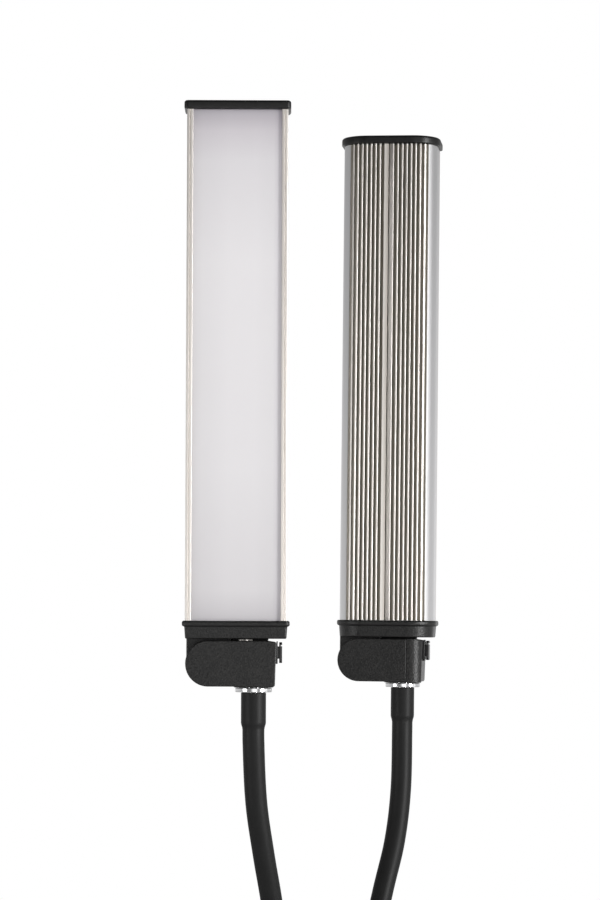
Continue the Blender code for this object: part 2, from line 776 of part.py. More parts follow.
def build_pivot(side, front, swivel, looks):
    """Bolt, nut and the friction washer that hold the bar at its angle."""
    axis = depth_axis(front)
    head_low = bolt_seat + GAP
    head_high = head_low + PIVOT_HEAD_THICK
    end = nut_front - GAP
    recess = PIVOT_RADIUS * 0.6
    profile = [
        (0, end),
        (PIVOT_RADIUS * 0.8, end),
        (PIVOT_RADIUS, end + PIVOT_RADIUS * 0.2),
        (PIVOT_RADIUS, head_low),
        (PIVOT_HEAD_RADIUS, head_low),
        (PIVOT_HEAD_RADIUS, head_high),
        (recess, head_high),
        (recess, head_high - PIVOT_HEAD_THICK / 2),
        (0, head_high - PIVOT_HEAD_THICK / 2),
    ]
    bolt = turned(profile, SMALL_SIDES, axis)
    add(f"{side}_pivot_bolt", bolt, swivel, looks["steel"], smooth=True)

    nut = hexagon_nut(PIVOT_NUT_RADIUS, PIVOT_RADIUS, nut_front, PIVOT_NUT_THICK, axis)
    add(f"{side}_pivot_nut", nut, swivel, looks["steel"])
    ring = tube(WASHER_RADIUS, PIVOT_RADIUS + GAP, slot_front + GAP, WASHER_THICK)
    washer = turned(ring, ROUND_SIDES, axis, loop=True)
    add(f"{side}_pivot_washer", washer, swivel, looks["brass"], smooth=True)


def switch_box(height, width):
    """Outline of a switch layer, as (depth, height) about the switch's centre."""
    centre = BLOCK_HEIGHT - SWITCH_FROM_TOP
    return box((middle - width / 2, centre - height / 2), (middle + width / 2, centre + height / 2))


def cut_switch_window(side, views, block, swivel):
    """Window in the square end for the switch's body."""
    window = switch_box(SWITCH_BODY_HEIGHT + 2 * GAP, SWITCH_BODY_WIDTH + 2 * GAP)
    beyond = 1 * MM
    tool = prism(window, NECK_INSET - BLOCK_WALL - beyond, NECK_INSET + beyond, views.end)
    boolean(block, add(f"{side}_switch_window", tool, swivel), "DIFFERENCE")


def build_switch(side, views, swivel, looks):
    """The switch's frame, fixed in the block, and the button that slides in it."""
    place = views.end
    face = NECK_INSET + GAP
    outer = face + SWITCH_PROUD
    inner = NECK_INSET - BLOCK_WALL - SWITCH_BODY_DEPTH
    frame_shape = prism(switch_box(SWITCH_HEIGHT, SWITCH_WIDTH), face, outer, place)
    frame = add(f"{side}_switch_frame", frame_shape, swivel, looks["gloss"])
    body_shape = switch_box(SWITCH_BODY_HEIGHT, SWITCH_BODY_WIDTH)
    body = prism(body_shape, inner, face + SWITCH_SEAT / 2, place)
    boolean(frame, add(f"{side}_switch_body", body, swivel), "UNION")
    well_height = SWITCH_HEIGHT - 2 * SWITCH_RIM
    well_width = SWITCH_WIDTH - 2 * SWITCH_RIM
    well = prism(switch_box(well_height, well_width), face + SWITCH_SEAT, outer + GAP, place)
    boolean(frame, add(f"{side}_switch_well", well, swivel), "DIFFERENCE")
    shaft_shape = switch_box(PLUNGER_HEIGHT + 2 * GAP, PLUNGER_WIDTH + 2 * GAP)
    shaft = prism(shaft_shape, inner + SWITCH_RIM, outer, place)
    boolean(frame, add(f"{side}_switch_shaft", shaft, swivel), "DIFFERENCE")

    slide = helper(f"{side}_button_slide", (outer, 0, BLOCK_HEIGHT - SWITCH_FROM_TOP), swivel)
    plate_low = outer + BUTTON_TRAVEL + GAP
    plate_shape = switch_box(SWITCH_HEIGHT - SWITCH_RIM, SWITCH_WIDTH - SWITCH_RIM)
    plate = prism(plate_shape, plate_low, plate_low + BUTTON_PLATE, place)
    button = add(f"{side}_switch_button", plate, slide, looks["gloss"])
    stem_shape = switch_box(well_height - 2 * GAP, well_width - 2 * GAP)
    stem_low = face + SWITCH_SEAT + BUTTON_TRAVEL + GAP
    stem = prism(stem_shape, stem_low, plate_low + BUTTON_PLATE / 2, place)
    plunger_low = inner + SWITCH_RIM + BUTTON_TRAVEL + GAP
    plunger_shape = switch_box(PLUNGER_HEIGHT, PLUNGER_WIDTH)
    plunger = prism(plunger_shape, plunger_low, stem_low + SWITCH_SEAT / 2, place)
    tools = (add(f"{side}_button_stem", stem, slide), add(f"{side}_button_plunger", plunger, slide))
    for tool in tools:
        boolean(button, tool, "UNION")
    for piece in (button, *tools):
        piece.location = -slide.location


def neck_curve(side, arm):
    """The neck's centre line, from its first bend up to the swivel fitting."""
    sign = -1 if side == "left" else 1
    foot = Vector((sign * neck_root_x, 0, first_bend))
    points = [foot - Vector((0, 0, ROOT_LENGTH)), foot]
    for share, x, y in arm["bends"]:
        points.append(foot + Vector((x, y, share * NECK_RISE)))
    top = points.pop()
    up = Matrix.Rotation(arm["lean"], 3, "Y") @ Vector((0, 0, 1))
    points += [top - up * STRAIGHT_TOP, top]
    return Curve([*smooth_path(points, PATH_STEPS), top])


def build_neck(side, arm, looks):
    """The bendable neck: parts joined by balls in cups. Returns the last part's empty."""
    curve = neck_curve(side, arm)
    part_length = curve.total / NECK_PARTS
    build_neck_root(side, curve, looks)
    for number in range(NECK_PARTS):
        start, end = number * part_length, (number + 1) * part_length
        joint = curve.at(start)
        bend = helper(f"{side}_bend_{number + 1}", joint)
        rings = ball_rings(joint, curve.direction(start))
        inner_start = start + NECK_RADIUS * 1.2
        last = number == NECK_PARTS - 1
        inner_end = end if last else end - NECK_RADIUS * 1.6
        for i in range(RINGS_PER_PART + 1):
            length = inner_start + (inner_end - inner_start) * i / RINGS_PER_PART
            rings.append((ring_frame(curve.at(length), curve.direction(length)), NECK_RADIUS))
        if last:
            rings.append((ring_frame(curve.at(end), curve.direction(end)), 0))
        else:
            rings += cup_rings(curve.at(end), curve.direction(end))
        part = swept(rings, NECK_SIDES, f"{side}_neck_{number + 1}", bend, looks["rubber"])
        part.location = -joint
        if last:
            cut_spigot_hole(side, part, bend, curve)
    return curve, bend


def cut_spigot_hole(side, part, bend, curve):
    """Hole in the neck's upper end for the fitting's spigot."""
    place = ring_frame(curve.at(curve.total), curve.direction(curve.total))
    radius, depth = SPIGOT_RADIUS + GAP, -SPIGOT_LENGTH - 2 * GAP
    bm = turned([(0, depth), (radius, depth), (radius, GAP), (0, GAP)], SMALL_SIDES, place)
    tool = add(f"{side}_spigot_hole", bm, bend)
    tool.location = part.location
    boolean(part, tool, "DIFFERENCE")


def build_neck_root(side, curve, looks):
    """The fixed foot of a neck with its flange and stub, and the nut that holds it."""
    base = curve.at(0)
    axis = Vector((0, 0, 1))
    nut_low = hub_high - HUB_WALL - GAP - STUB_NUT_THICK
    levels = (
        (nut_low - GAP, 0),
        (nut_low - GAP, STUB_RADIUS),
        (hub_high + GAP, STUB_RADIUS),
        (hub_high + GAP, FLANGE_RADIUS),
        (root_base, FLANGE_RADIUS),
        (root_base, sleeve_radius),
        (first_bend - NECK_RADIUS - ROOT_TAPER, sleeve_radius),
    )
    rings = []
    for height, radius in levels:
        rings.append((ring_frame(Vector((base.x, base.y, height)), axis), radius))
    rings += cup_rings(base, curve.direction(0))
    swept(rings, ROUND_SIDES, f"{side}_neck_root", None, looks["rubber"])

    nut = hexagon_nut(STUB_NUT_RADIUS, STUB_RADIUS, nut_low, STUB_NUT_THICK, upright(base.x, base.y))
    add(f"{side}_root_nut", nut, None, looks["steel"])


def build_fitting(side, swivel_place, bend, looks):
    """Chrome flange at the neck's top with its stub, nut, spigot and black sleeve."""
    local = bend.matrix_world.inverted() @ swivel_place
    spigot_end = neck_end - SPIGOT_LENGTH
    stub_top = BLOCK_WALL + STUB_NUT_THICK + 3 * GAP
    profile = [
        (0, spigot_end),
        (SPIGOT_RADIUS, spigot_end),
        (SPIGOT_RADIUS, flange_low),
        (FLANGE_RADIUS - GAP, flange_low),
        (FLANGE_RADIUS, flange_low + GAP),
        (FLANGE_RADIUS, flange_top - GAP),
        (FLANGE_RADIUS - GAP, flange_top),
        (STUB_RADIUS, flange_top),
        (STUB_RADIUS, stub_top),
        (0, stub_top),
    ]
    fitting = turned(profile, ROUND_SIDES, local)
    add(f"{side}_neck_fitting", fitting, bend, looks["chrome"], smooth=True)

    nut = hexagon_nut(STUB_NUT_RADIUS, STUB_RADIUS, BLOCK_WALL + GAP, STUB_NUT_THICK, local)
    add(f"{side}_fitting_nut", nut, bend, looks["steel"])

    inner = NECK_RADIUS + GAP
    top = neck_end
    low = top - SLEEVE_LENGTH
    ring = [
        (inner, top),
        (sleeve_radius, top),
        (sleeve_radius, low),
        (inner + SLEEVE_WALL / 3, low - SLEEVE_TAPER),
        (inner, low - SLEEVE_TAPER),
    ]
    sleeve = turned(ring, ROUND_SIDES, local, loop=True)
    add(f"{side}_neck_sleeve", sleeve, bend, looks["rubber"], smooth=True)


def world_plan(x, y, height):
    """Plan outlines of the hub, straight in world axes."""
    return Vector((x, y, height))


def hub_screw_places():
    """Where screws tie the hub's shells and the socket's plate together."""
    return [Vector((sign * hub_screw_x, 0, 0)) for sign in (-1, 1)]


def build_hub_shells(looks):
    """Lower shell with a shelf, upper shell with its pillars, and their screws."""
    beyond = 1 * MM
    outer = stadium(HUB_LENGTH, HUB_DEPTH)
    inner = stadium(HUB_LENGTH, HUB_DEPTH, HUB_WALL)
    narrow = stadium(HUB_LENGTH, HUB_DEPTH, HUB_WALL + SHELF_STEP)
    places = hub_screw_places()
    seat = hub_low + SCREW_HEAD_THICK + GAP
    shank, head = SCREW_SHANK + GAP, SCREW_HEAD + GAP
    socket_hole = rod(socket_radius + GAP, hub_low - beyond, plate_low + beyond)
    jack_hole = rod(JACK_RADIUS + GAP, 0, HUB_DEPTH)

    bottom = add("hub_bottom", prism(outer, hub_low, hub_split, world_plan), None, looks["plastic"])
    cuts = {
        "room": prism(inner, shelf, hub_split + beyond, world_plan),
        "lower_room": prism(narrow, hub_low + HUB_WALL, shelf + beyond, world_plan),
        "socket_hole": turned(socket_hole, ROUND_SIDES),
        "screw_holes": turned_at(stepped_rod(head, shank, hub_low - beyond, seat, plate_low), places),
        "jack_hole": turned(jack_hole, SMALL_SIDES, along_y(0, jack_height)),
    }
    for label, cut in cuts.items():
        boolean(bottom, add(f"hub_bottom_{label}", cut), "DIFFERENCE")

    base = hub_split + GAP
    roof = hub_high - HUB_WALL
    foot = plate_high + GAP
    roots = [Vector((sign * neck_root_x, 0, 0)) for sign in (-1, 1)]
    top = add("hub_top", hub_lid(outer, base), None, looks["plastic"])
    hollow = prism(inner, base - beyond, roof, world_plan)
    boolean(top, add("hub_top_room", hollow), "DIFFERENCE")
    pillar = [
        (0, foot + SCREW_GRIP),
        (shank, foot + SCREW_GRIP),
        (shank, foot),
        (PILLAR_RADIUS, foot),
        (PILLAR_RADIUS, roof + HUB_WALL / 2),
        (0, roof + HUB_WALL / 2),
    ]
    boolean(top, add("hub_top_pillars", turned_at(pillar, places)), "UNION")
    neck_holes = turned_at(rod(STUB_RADIUS + GAP, roof - beyond, hub_high + beyond), roots)
    boolean(top, add("hub_top_neck_holes", neck_holes), "DIFFERENCE")

    heads = [place + Vector((0, 0, seat - GAP)) for place in places]
    length = foot + SCREW_GRIP - SCREW_SHANK - seat
    screws_at("hub_screw", heads, length, False, None, looks["steel"])


def hub_lid(outer, base):
    """The upper shell's outer form, with a chamfer round its top."""
    inset = stadium(HUB_LENGTH, HUB_DEPTH, HUB_CHAMFER)
    bm = bmesh.new()
    levels = ((outer, base), (outer, hub_high - HUB_CHAMFER), (inset, hub_high))
    rows = [[bm.verts.new((x, y, height)) for x, y in shape] for shape, height in levels]
    bm.faces.new(rows[0])
    bm.faces.new(rows[-1])
    for first, second in zip(rows, rows[1:]):
        bridge(bm, first, second, len(outer))
    return bm


def build_hub_inside(looks):
    """Driver board on the shell's shelf, with the power inlet behind it."""
    low = shelf + GAP
    shape = stadium(HUB_LENGTH, HUB_DEPTH, HUB_WALL + GAP)
    driver = add("driver_board", prism(shape, low, low + BOARD_THICK, world_plan), None, looks["green"])
    holes = turned_at(rod(PILLAR_RADIUS + GAP, shelf, low + BOARD_THICK + GAP), hub_screw_places())
    boolean(driver, add("driver_board_holes", holes), "DIFFERENCE")

    face = HUB_DEPTH / 2 + GAP
    start = face - JACK_LENGTH
    floor = start + HUB_WALL
    profile = [
        (0, start),
        (JACK_RADIUS, start),
        (JACK_RADIUS, face),
        (JACK_BORE, face),
        (JACK_BORE, floor),
        (JACK_PIN, floor),
        (JACK_PIN, face - HUB_WALL),
        (0, face - HUB_WALL),
    ]
    jack = turned(profile, SMALL_SIDES, along_y(0, jack_height))
    add("power_inlet", jack, None, looks["gloss"], smooth=True)


def build_stand_socket(looks):
    """The metal socket that drops onto a light stand's stud, and its clamp screw."""
    shape = stadium(HUB_LENGTH, HUB_DEPTH, HUB_WALL + SHELF_STEP + GAP)
    socket = add("stand_socket", prism(shape, plate_low, plate_high, world_plan), None, looks["steel"])
    barrel = turned(rod(socket_radius, 0, plate_low + PLATE_THICK / 2), ROUND_SIDES)
    boolean(socket, add("socket_barrel", barrel), "UNION")
    bore = turned(rod(SOCKET_BORE, -1 * MM, plate_high - SOCKET_ROOF), ROUND_SIDES)
    boolean(socket, add("socket_bore", bore), "DIFFERENCE")
    holes = turned_at(rod(SCREW_SHANK + GAP, hub_low, shelf), hub_screw_places())
    boolean(socket, add("socket_screw_holes", holes), "DIFFERENCE")
    cross = turned(rod(STUD_RADIUS + GAP, 0, HUB_DEPTH), SMALL_SIDES, along_y(0, CLAMP_HEIGHT, 0, -1))
    boolean(socket, add("socket_cross_hole", cross), "DIFFERENCE")

    knob_start = socket_radius + KNOB_STANDOFF
    clamp = helper("clamp_turn", (0, -knob_start, CLAMP_HEIGHT))
    stud_end = knob_start + KNOB_THICK * 0.7
    place = along_y(0, 0, knob_start, -1)
    stud = turned(rod(STUD_RADIUS, SOCKET_BORE + GAP, stud_end), SMALL_SIDES, place)
    add("clamp_stud", stud, clamp, looks["steel"], smooth=True)
    outline = []
    steps = 6 * KNOB_LOBES
    for i in range(steps):
        angle = 2 * math.pi * i / steps
        radius = KNOB_RADIUS + KNOB_LOBE * math.cos(KNOB_LOBES * angle)
        outline.append((radius * math.cos(angle), radius * math.sin(angle)))

    def knob_place(x, z, depth):
        return Vector((x, knob_start - depth, z))

    body = prism(outline, knob_start, knob_start + KNOB_THICK, knob_place)
    knob = add("clamp_knob", body, clamp, looks["plastic"])
    bore = turned(rod(STUD_RADIUS + GAP, knob_start - GAP, stud_end + GAP), SMALL_SIDES, place)
    boolean(knob, add("clamp_knob_bore", bore, clamp), "DIFFERENCE")


def build_arm(side, arm, looks):
    """One neck with its hinge block and light bar."""
    front = arm["front"]
    curve, bend = build_neck(side, arm, looks)
    bpy.context.view_layer.update()
    turn = Matrix.Rotation(arm["lean"], 4, "Y") @ Matrix.Rotation(arm["turn"], 4, "Z")
    top = curve.at(curve.total)
    swivel_point = top - turn @ Vector((0, 0, neck_end))
    swivel_place = Matrix.Translation(swivel_point) @ turn
    build_fitting(side, swivel_place, bend, looks)
    swivel = helper(f"{side}_swivel", swivel_point, None, turn.to_euler())
    build_block(side, front, swivel, looks)
    fold = helper(f"{side}_fold", pivot, swivel)
    build_bar(side, front, fold, looks)


def main():
    start_afresh()
    looks = {
        "plastic": finish("black_plastic", (0.03, 0.03, 0.032), 0.55),
        "gloss": finish("gloss_plastic", (0.02, 0.02, 0.02), 0.25),
        "rubber": finish("neck_rubber", (0.025, 0.025, 0.026), 0.6),
        "aluminium": finish("aluminium", (0.78, 0.77, 0.76), 0.3, 1.0),
        "chrome": finish("chrome", (0.85, 0.85, 0.86), 0.1, 1.0),
        "steel": finish("steel", (0.6, 0.6, 0.6), 0.35, 1.0),
        "brass": finish("brass", (0.7, 0.55, 0.3), 0.35, 1.0),
        "diffuser": finish("diffuser", (0.75, 0.73, 0.78), 0.45),
        "board": finish("board_white", (0.8, 0.8, 0.78), 0.5),
        "green": finish("board_green", (0.03, 0.2, 0.08), 0.4),
    }
    build_hub_shells(looks)
    build_hub_inside(looks)
    build_stand_socket(looks)
    for side, arm in ARMS.items():
        build_arm(side, arm, looks)


main()
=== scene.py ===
# %% [markdown]
# # A fill light with two arms, dressed for a studio picture
# The lamp's solids are packed already, and each of them belongs to a body that
# moves on a joint. This script gives them the fine shapes and finishes of the real
# lamp. It first loads the solids and keeps the box that they fill, because no
# finished piece may reach out of that box.

# %% Load the solids
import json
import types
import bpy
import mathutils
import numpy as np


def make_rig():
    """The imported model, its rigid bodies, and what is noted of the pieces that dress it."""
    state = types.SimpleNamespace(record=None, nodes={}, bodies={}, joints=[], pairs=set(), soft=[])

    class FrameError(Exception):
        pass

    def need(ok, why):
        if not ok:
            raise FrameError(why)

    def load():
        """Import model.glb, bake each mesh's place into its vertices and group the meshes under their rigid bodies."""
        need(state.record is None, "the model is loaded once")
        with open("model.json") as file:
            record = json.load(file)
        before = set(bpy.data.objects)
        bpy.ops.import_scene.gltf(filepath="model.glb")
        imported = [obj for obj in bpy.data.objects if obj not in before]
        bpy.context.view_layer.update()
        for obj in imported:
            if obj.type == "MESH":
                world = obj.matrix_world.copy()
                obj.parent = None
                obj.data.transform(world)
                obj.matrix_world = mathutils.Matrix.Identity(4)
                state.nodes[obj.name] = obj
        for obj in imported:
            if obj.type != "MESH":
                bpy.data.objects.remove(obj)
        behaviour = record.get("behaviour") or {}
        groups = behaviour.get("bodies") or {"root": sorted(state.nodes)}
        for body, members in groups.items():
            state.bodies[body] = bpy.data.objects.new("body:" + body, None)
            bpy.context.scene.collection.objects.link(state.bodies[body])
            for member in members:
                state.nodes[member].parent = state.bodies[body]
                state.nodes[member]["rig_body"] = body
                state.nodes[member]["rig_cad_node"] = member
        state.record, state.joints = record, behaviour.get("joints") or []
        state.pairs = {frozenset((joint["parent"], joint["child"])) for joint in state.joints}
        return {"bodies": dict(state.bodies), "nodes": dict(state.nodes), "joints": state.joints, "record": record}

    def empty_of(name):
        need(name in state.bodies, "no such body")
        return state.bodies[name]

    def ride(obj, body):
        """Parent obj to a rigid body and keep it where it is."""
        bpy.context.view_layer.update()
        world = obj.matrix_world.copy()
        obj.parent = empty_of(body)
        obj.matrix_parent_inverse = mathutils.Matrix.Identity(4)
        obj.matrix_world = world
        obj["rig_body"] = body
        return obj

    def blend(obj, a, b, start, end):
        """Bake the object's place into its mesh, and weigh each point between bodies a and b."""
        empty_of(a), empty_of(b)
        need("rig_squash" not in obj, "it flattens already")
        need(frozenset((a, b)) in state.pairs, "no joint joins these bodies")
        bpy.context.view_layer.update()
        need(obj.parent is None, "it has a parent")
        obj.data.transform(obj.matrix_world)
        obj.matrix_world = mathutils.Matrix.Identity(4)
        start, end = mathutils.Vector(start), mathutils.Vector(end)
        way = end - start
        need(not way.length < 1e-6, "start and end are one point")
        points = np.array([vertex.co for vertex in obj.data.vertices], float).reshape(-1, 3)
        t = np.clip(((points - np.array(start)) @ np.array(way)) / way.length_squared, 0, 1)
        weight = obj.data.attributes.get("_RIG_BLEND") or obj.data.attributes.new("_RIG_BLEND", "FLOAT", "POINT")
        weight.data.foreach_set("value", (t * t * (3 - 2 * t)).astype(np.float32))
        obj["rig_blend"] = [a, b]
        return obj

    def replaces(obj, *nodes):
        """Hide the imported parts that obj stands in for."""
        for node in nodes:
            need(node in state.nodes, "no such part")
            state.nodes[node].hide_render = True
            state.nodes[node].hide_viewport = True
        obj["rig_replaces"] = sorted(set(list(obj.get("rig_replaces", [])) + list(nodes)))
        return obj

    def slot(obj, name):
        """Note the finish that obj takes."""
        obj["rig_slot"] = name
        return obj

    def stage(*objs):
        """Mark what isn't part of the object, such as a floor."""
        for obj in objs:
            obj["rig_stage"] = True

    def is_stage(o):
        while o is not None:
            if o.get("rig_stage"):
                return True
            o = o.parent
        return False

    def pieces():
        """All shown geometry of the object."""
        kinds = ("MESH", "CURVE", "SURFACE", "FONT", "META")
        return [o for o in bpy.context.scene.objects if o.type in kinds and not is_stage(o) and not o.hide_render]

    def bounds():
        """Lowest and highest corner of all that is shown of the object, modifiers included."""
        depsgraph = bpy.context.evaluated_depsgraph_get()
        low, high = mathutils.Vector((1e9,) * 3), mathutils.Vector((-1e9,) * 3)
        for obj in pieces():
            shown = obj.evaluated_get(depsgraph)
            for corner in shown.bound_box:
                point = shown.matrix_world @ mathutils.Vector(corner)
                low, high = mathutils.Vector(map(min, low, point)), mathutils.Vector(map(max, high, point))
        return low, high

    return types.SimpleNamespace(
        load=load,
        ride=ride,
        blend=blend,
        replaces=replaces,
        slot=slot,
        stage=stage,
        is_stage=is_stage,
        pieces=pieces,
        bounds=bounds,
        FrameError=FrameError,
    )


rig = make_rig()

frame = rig.load()

solid_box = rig.bounds()
print("solids:", len(frame["nodes"]), "in", solid_box)

# %% Modules and the unit
import json
import math

import bmesh
import bpy
from mathutils import Matrix, Vector

MM = 0.001


def mm(*values):
    """A row of millimetres in metres."""
    return [value * MM for value in values]


# %% [markdown]
# ## Sums on sockets
# A finish such as grained plastic is a small sum: some noise times a number, plus
# another number. Node by node that is long to write and hard to read. So a Wire
# wraps a socket, and plus, minus and times on it add the Math nodes.

# %% A wire, and the look that it feeds
class Wire:
    """What flows out of a socket; a sum on it adds a Math node."""

    def __init__(self, look, socket):
        self.look = look
        self.socket = socket

    def __add__(self, other):
        return self.look.maths("ADD", self, other)

    __radd__ = __add__

    def __sub__(self, other):
        return self.look.maths("SUBTRACT", self, other)

    def __rsub__(self, other):
        return self.look.maths("SUBTRACT", other, self)

    def __mul__(self, other):
        return self.look.maths("MULTIPLY", self, other)

    __rmul__ = __mul__


class Look:
    """A material or a world, and the nodes that make its finish."""

    def __init__(self, tree):
        self.tree = tree

    def node(self, kind, settings=None, sockets=None, out=0):
        """Adds a node: its settings first, then a value or a wire for each socket."""
        node = self.tree.nodes.new(kind)
        for name, value in (settings or {}).items():
            if name == "stops":
                self.set_stops(node.color_ramp, value)
            else:
                setattr(node, name, value)
        for name, value in (sockets or {}).items():
            self.feed(node.inputs[name], value)
        return Wire(self, node.outputs[out])

    def set_stops(self, ramp, stops):
        """Fills a colour ramp from (place, colour) pairs."""
        while len(ramp.elements) < len(stops):
            ramp.elements.new(1)
        for element, (place, colour) in zip(ramp.elements, stops):
            element.position = place
            element.color = (*colour[:3], 1)

    def feed(self, socket, value):
        """Gives a socket a wire or a value."""
        if isinstance(value, Wire):
            self.tree.links.new(value.socket, socket)
        else:
            socket.default_value = value

    def maths(self, operation, first, second=0.0):
        """One Math node; an operation on one number ignores the second."""
        return self.node("ShaderNodeMath", {"operation": operation}, {0: first, 1: second})

    def part(self, vector, number):
        """One of a vector's three numbers."""
        return self.node("ShaderNodeSeparateXYZ", None, {0: vector}, out=number)

    def ramp(self, factor, stops):
        """Gives a colour for a factor from 0 to 1."""
        return self.node("ShaderNodeValToRGB", {"stops": stops}, {0: factor})

    def between(self, factor, first, second, blend="MIX"):
        """Mixes two colours, which a Mix node takes at its sockets 6 and 7."""
        mix = {"data_type": "RGBA", "blend_type": blend}
        return self.node("ShaderNodeMix", mix, {0: factor, 6: first, 7: second}, out=2)


# %% [markdown]
# ## What every finish starts from
# Each finish here is one Principled shader. Its constants, such as how strongly it
# shines, are set on its own sockets. Only colour, roughness and the bump vary over
# the surface, and they come from noise in the object's own coordinates, so the
# grain has a real size in millimetres and needs no unwrapping.

# %% A finish
class Finish(Look):
    """A Principled material: constants on its sockets, noise for the rest."""

    def __init__(self, name, constants):
        self.material = bpy.data.materials.new(name)
        self.material.use_nodes = True
        super().__init__(self.material.node_tree)
        self.shader = self.tree.nodes["Principled BSDF"].inputs
        for socket, value in constants.items():
            self.shader[socket].default_value = value
        self.here = self.node("ShaderNodeTexCoord", out="Object")

    def stretched(self, across, deep, high):
        """The object's coordinates, scaled along each axis."""
        scale = {0: self.here, 1: (across, deep, high)}
        return self.node("ShaderNodeVectorMath", {"operation": "MULTIPLY"}, scale)

    def axis(self, number):
        """One of the object's own coordinates, in metres."""
        return self.part(self.here, number)

    def noise(self, scale, detail=2.0, vector=None):
        """Soft noise from 0 to 1; scale is in waves a metre."""
        sockets = {"Vector": vector or self.here, "Scale": scale, "Detail": detail}
        return self.node("ShaderNodeTexNoise", None, sockets)

    def paint(self, colour, roughness, height, depth):
        """Feeds the shader; height is the bump, depth how many metres it spans."""
        bump = self.node("ShaderNodeBump", None, {"Height": height, "Distance": depth, "Strength": 1.0})
        for name, value in (("Base Color", colour), ("Roughness", roughness), ("Normal", bump)):
            self.feed(self.shader[name], value)
        return self.material


def grey(value, warmth=0.0):
    """A grey with a little more red and less blue, or the other way round."""
    return (value * (1 + warmth), value, value * (1 - warmth), 1.0)


# %% [markdown]
# ## The plastics
# The lower caps, the hinge blocks and the hub are moulded in a black plastic with a
# spark-eroded surface: bumps half a millimetre wide that break up the shine. The
# upper caps and the switches are smoother. All are dark because they scatter little
# light, and what the eye sees is mostly the shine, so roughness matters more here
# than colour.

# %% Moulded black plastics
def moulded(name, shade, roughness, grain_depth, shine):
    """Grain in the bump, and a speckle between a darker and a paler shade."""
    look = Finish(name, {"Specular IOR Level": shine})
    grain = look.noise(1100, 2.5)
    worn = look.noise(45, 3.0)
    stops = [(0.4, grey(shade * 0.3, 0.05)), (0.66, grey(shade * 3, 0.05))]
    speckle = look.ramp(grain + worn * 0.3 - 0.15, stops)
    return look.paint(speckle, roughness - 0.06 + grain * 0.12, grain, grain_depth)


black_plastic = moulded("moulded black plastic", 0.0045, 0.35, 0.00024, 0.55)
cap_plastic = moulded("smooth cap plastic", 0.0015, 0.36, 0.00006, 0.55)
switch_plastic = moulded("switch plastic", 0.004, 0.3, 0.00001, 0.6)
print("plastics:", black_plastic.name, cap_plastic.name, switch_plastic.name)

# %% [markdown]
# The neck is a steel hose inside a heat-shrunk rubber skin. In the picture it is
# smooth, with a soft sheen, so a faint cloudiness and a very fine grain are enough.

# %% Rubber of the necks
def neck_skin():
    """Smooth black rubber, a little cloudy."""
    look = Finish("neck rubber", {"Specular IOR Level": 0.28})
    cloudy = look.noise(70, 3.0)
    fine = look.noise(2200, 2.0)
    colour = look.between(cloudy, grey(0.008), grey(0.013))
    return look.paint(colour, 0.44 + cloudy * 0.08, fine, 0.00002)


neck_rubber = neck_skin()

# %% [markdown]
# ## The metals
# The bar is pushed through a die, which leaves fine lines along its whole length,
# and is then anodised: a satin metal. Noise that is squeezed across the bar and
# stretched along it gives those lines. In the picture the fins and the front lips
# are cream and the sides cooler, so that tone follows how far across a point lies.
# The valleys between the fins are dark with shade, and this shade is painted into
# the colour: darker the farther a point lies below the back.

# %% Extruded aluminium
BAR_WIDTH, BAR_DEPTH, BAR_CORNER = mm(59.4, 33.6, 15.5)
BAR_CENTRE = -10.35 * MM
FINNED_HALF, FIN_HEIGHT = mm(24.6, 4.8)
LIPS_BEYOND = 14 * MM
CORNER_DROP = 38.0


def extruded():
    """Satin metal with lines along the bar, cream fins and lips, and painted shade in the valleys."""
    look = Finish("extruded aluminium", {"Metallic": 1.0})
    lines = look.noise(1.0, 2.0, look.stretched(2600, 2600, 4))
    cloudy = look.noise(25, 2.0)
    across = look.maths("ABSOLUTE", look.axis(0) - BAR_CENTRE)
    deep = look.maths("ABSOLUTE", look.axis(1))
    past = look.maths("MAXIMUM", across - (BAR_WIDTH / 2 - BAR_CORNER))
    below = (BAR_DEPTH / 2 - past * past * CORNER_DROP - deep) * (1 / FIN_HEIGHT)
    finned = look.maths("LESS_THAN", across, FINNED_HALF)
    lips = look.maths("GREATER_THAN", deep, LIPS_BEYOND)
    # Painted shade: the valleys between the fins get darker the deeper they lie below the back.
    painted_valley_shade = look.ramp(below * finned, [(0.015, grey(0)), (0.12, grey(0.8)), (0.9, grey(1))])
    cool = look.between(lines, (0.86, 0.855, 0.865, 1), (0.94, 0.935, 0.945, 1))
    cream = look.between(lines, (0.86, 0.81, 0.76, 1), (0.92, 0.875, 0.83, 1))
    bright = look.between(look.maths("MAXIMUM", finned, lips), cool, cream)
    colour = look.between(painted_valley_shade, bright, (0.25, 0.225, 0.185, 1))
    return look.paint(colour, 0.31 + cloudy * 0.03, lines, 0.000001)


bar_aluminium = extruded()
print("metal of the bars:", bar_aluminium.name)

# %% [markdown]
# The flanges, screws, socket and clamp stud come off a lathe, whose tool leaves faint
# rings. Noise that changes fast along the height and slowly across it gives them.

# %% Turned metals
def turned_metal(name, colour, roughness, rings):
    """A lathe's metal; rings is in waves a metre."""
    look = Finish(name, {"Metallic": 1.0})
    marks = look.noise(1.0, 2.0, look.stretched(200, 200, rings))
    dull = look.noise(300, 2.0)
    darker = tuple(part * 0.9 for part in colour)
    shade = look.between(dull, (*darker, 1), (*colour, 1))
    return look.paint(shade, roughness + marks * 0.08, marks, 0.000004)


chrome = turned_metal("polished chrome", (0.9, 0.9, 0.91), 0.15, 900)
steel = turned_metal("zinc plated steel", (0.62, 0.62, 0.63), 0.3, 2500)
brass = turned_metal("turned brass", (0.75, 0.58, 0.32), 0.28, 2500)

# %% [markdown]
# ## The milky sheet and the boards
# The sheet in front of the LEDs is milk-white acrylic with a satin face. In the
# picture it is unlit, lilac grey, and darker near its ends and its sides, where the
# bar's edges keep the light off. One ramp along the bar, multiplied by one across
# it, gives the slow change.

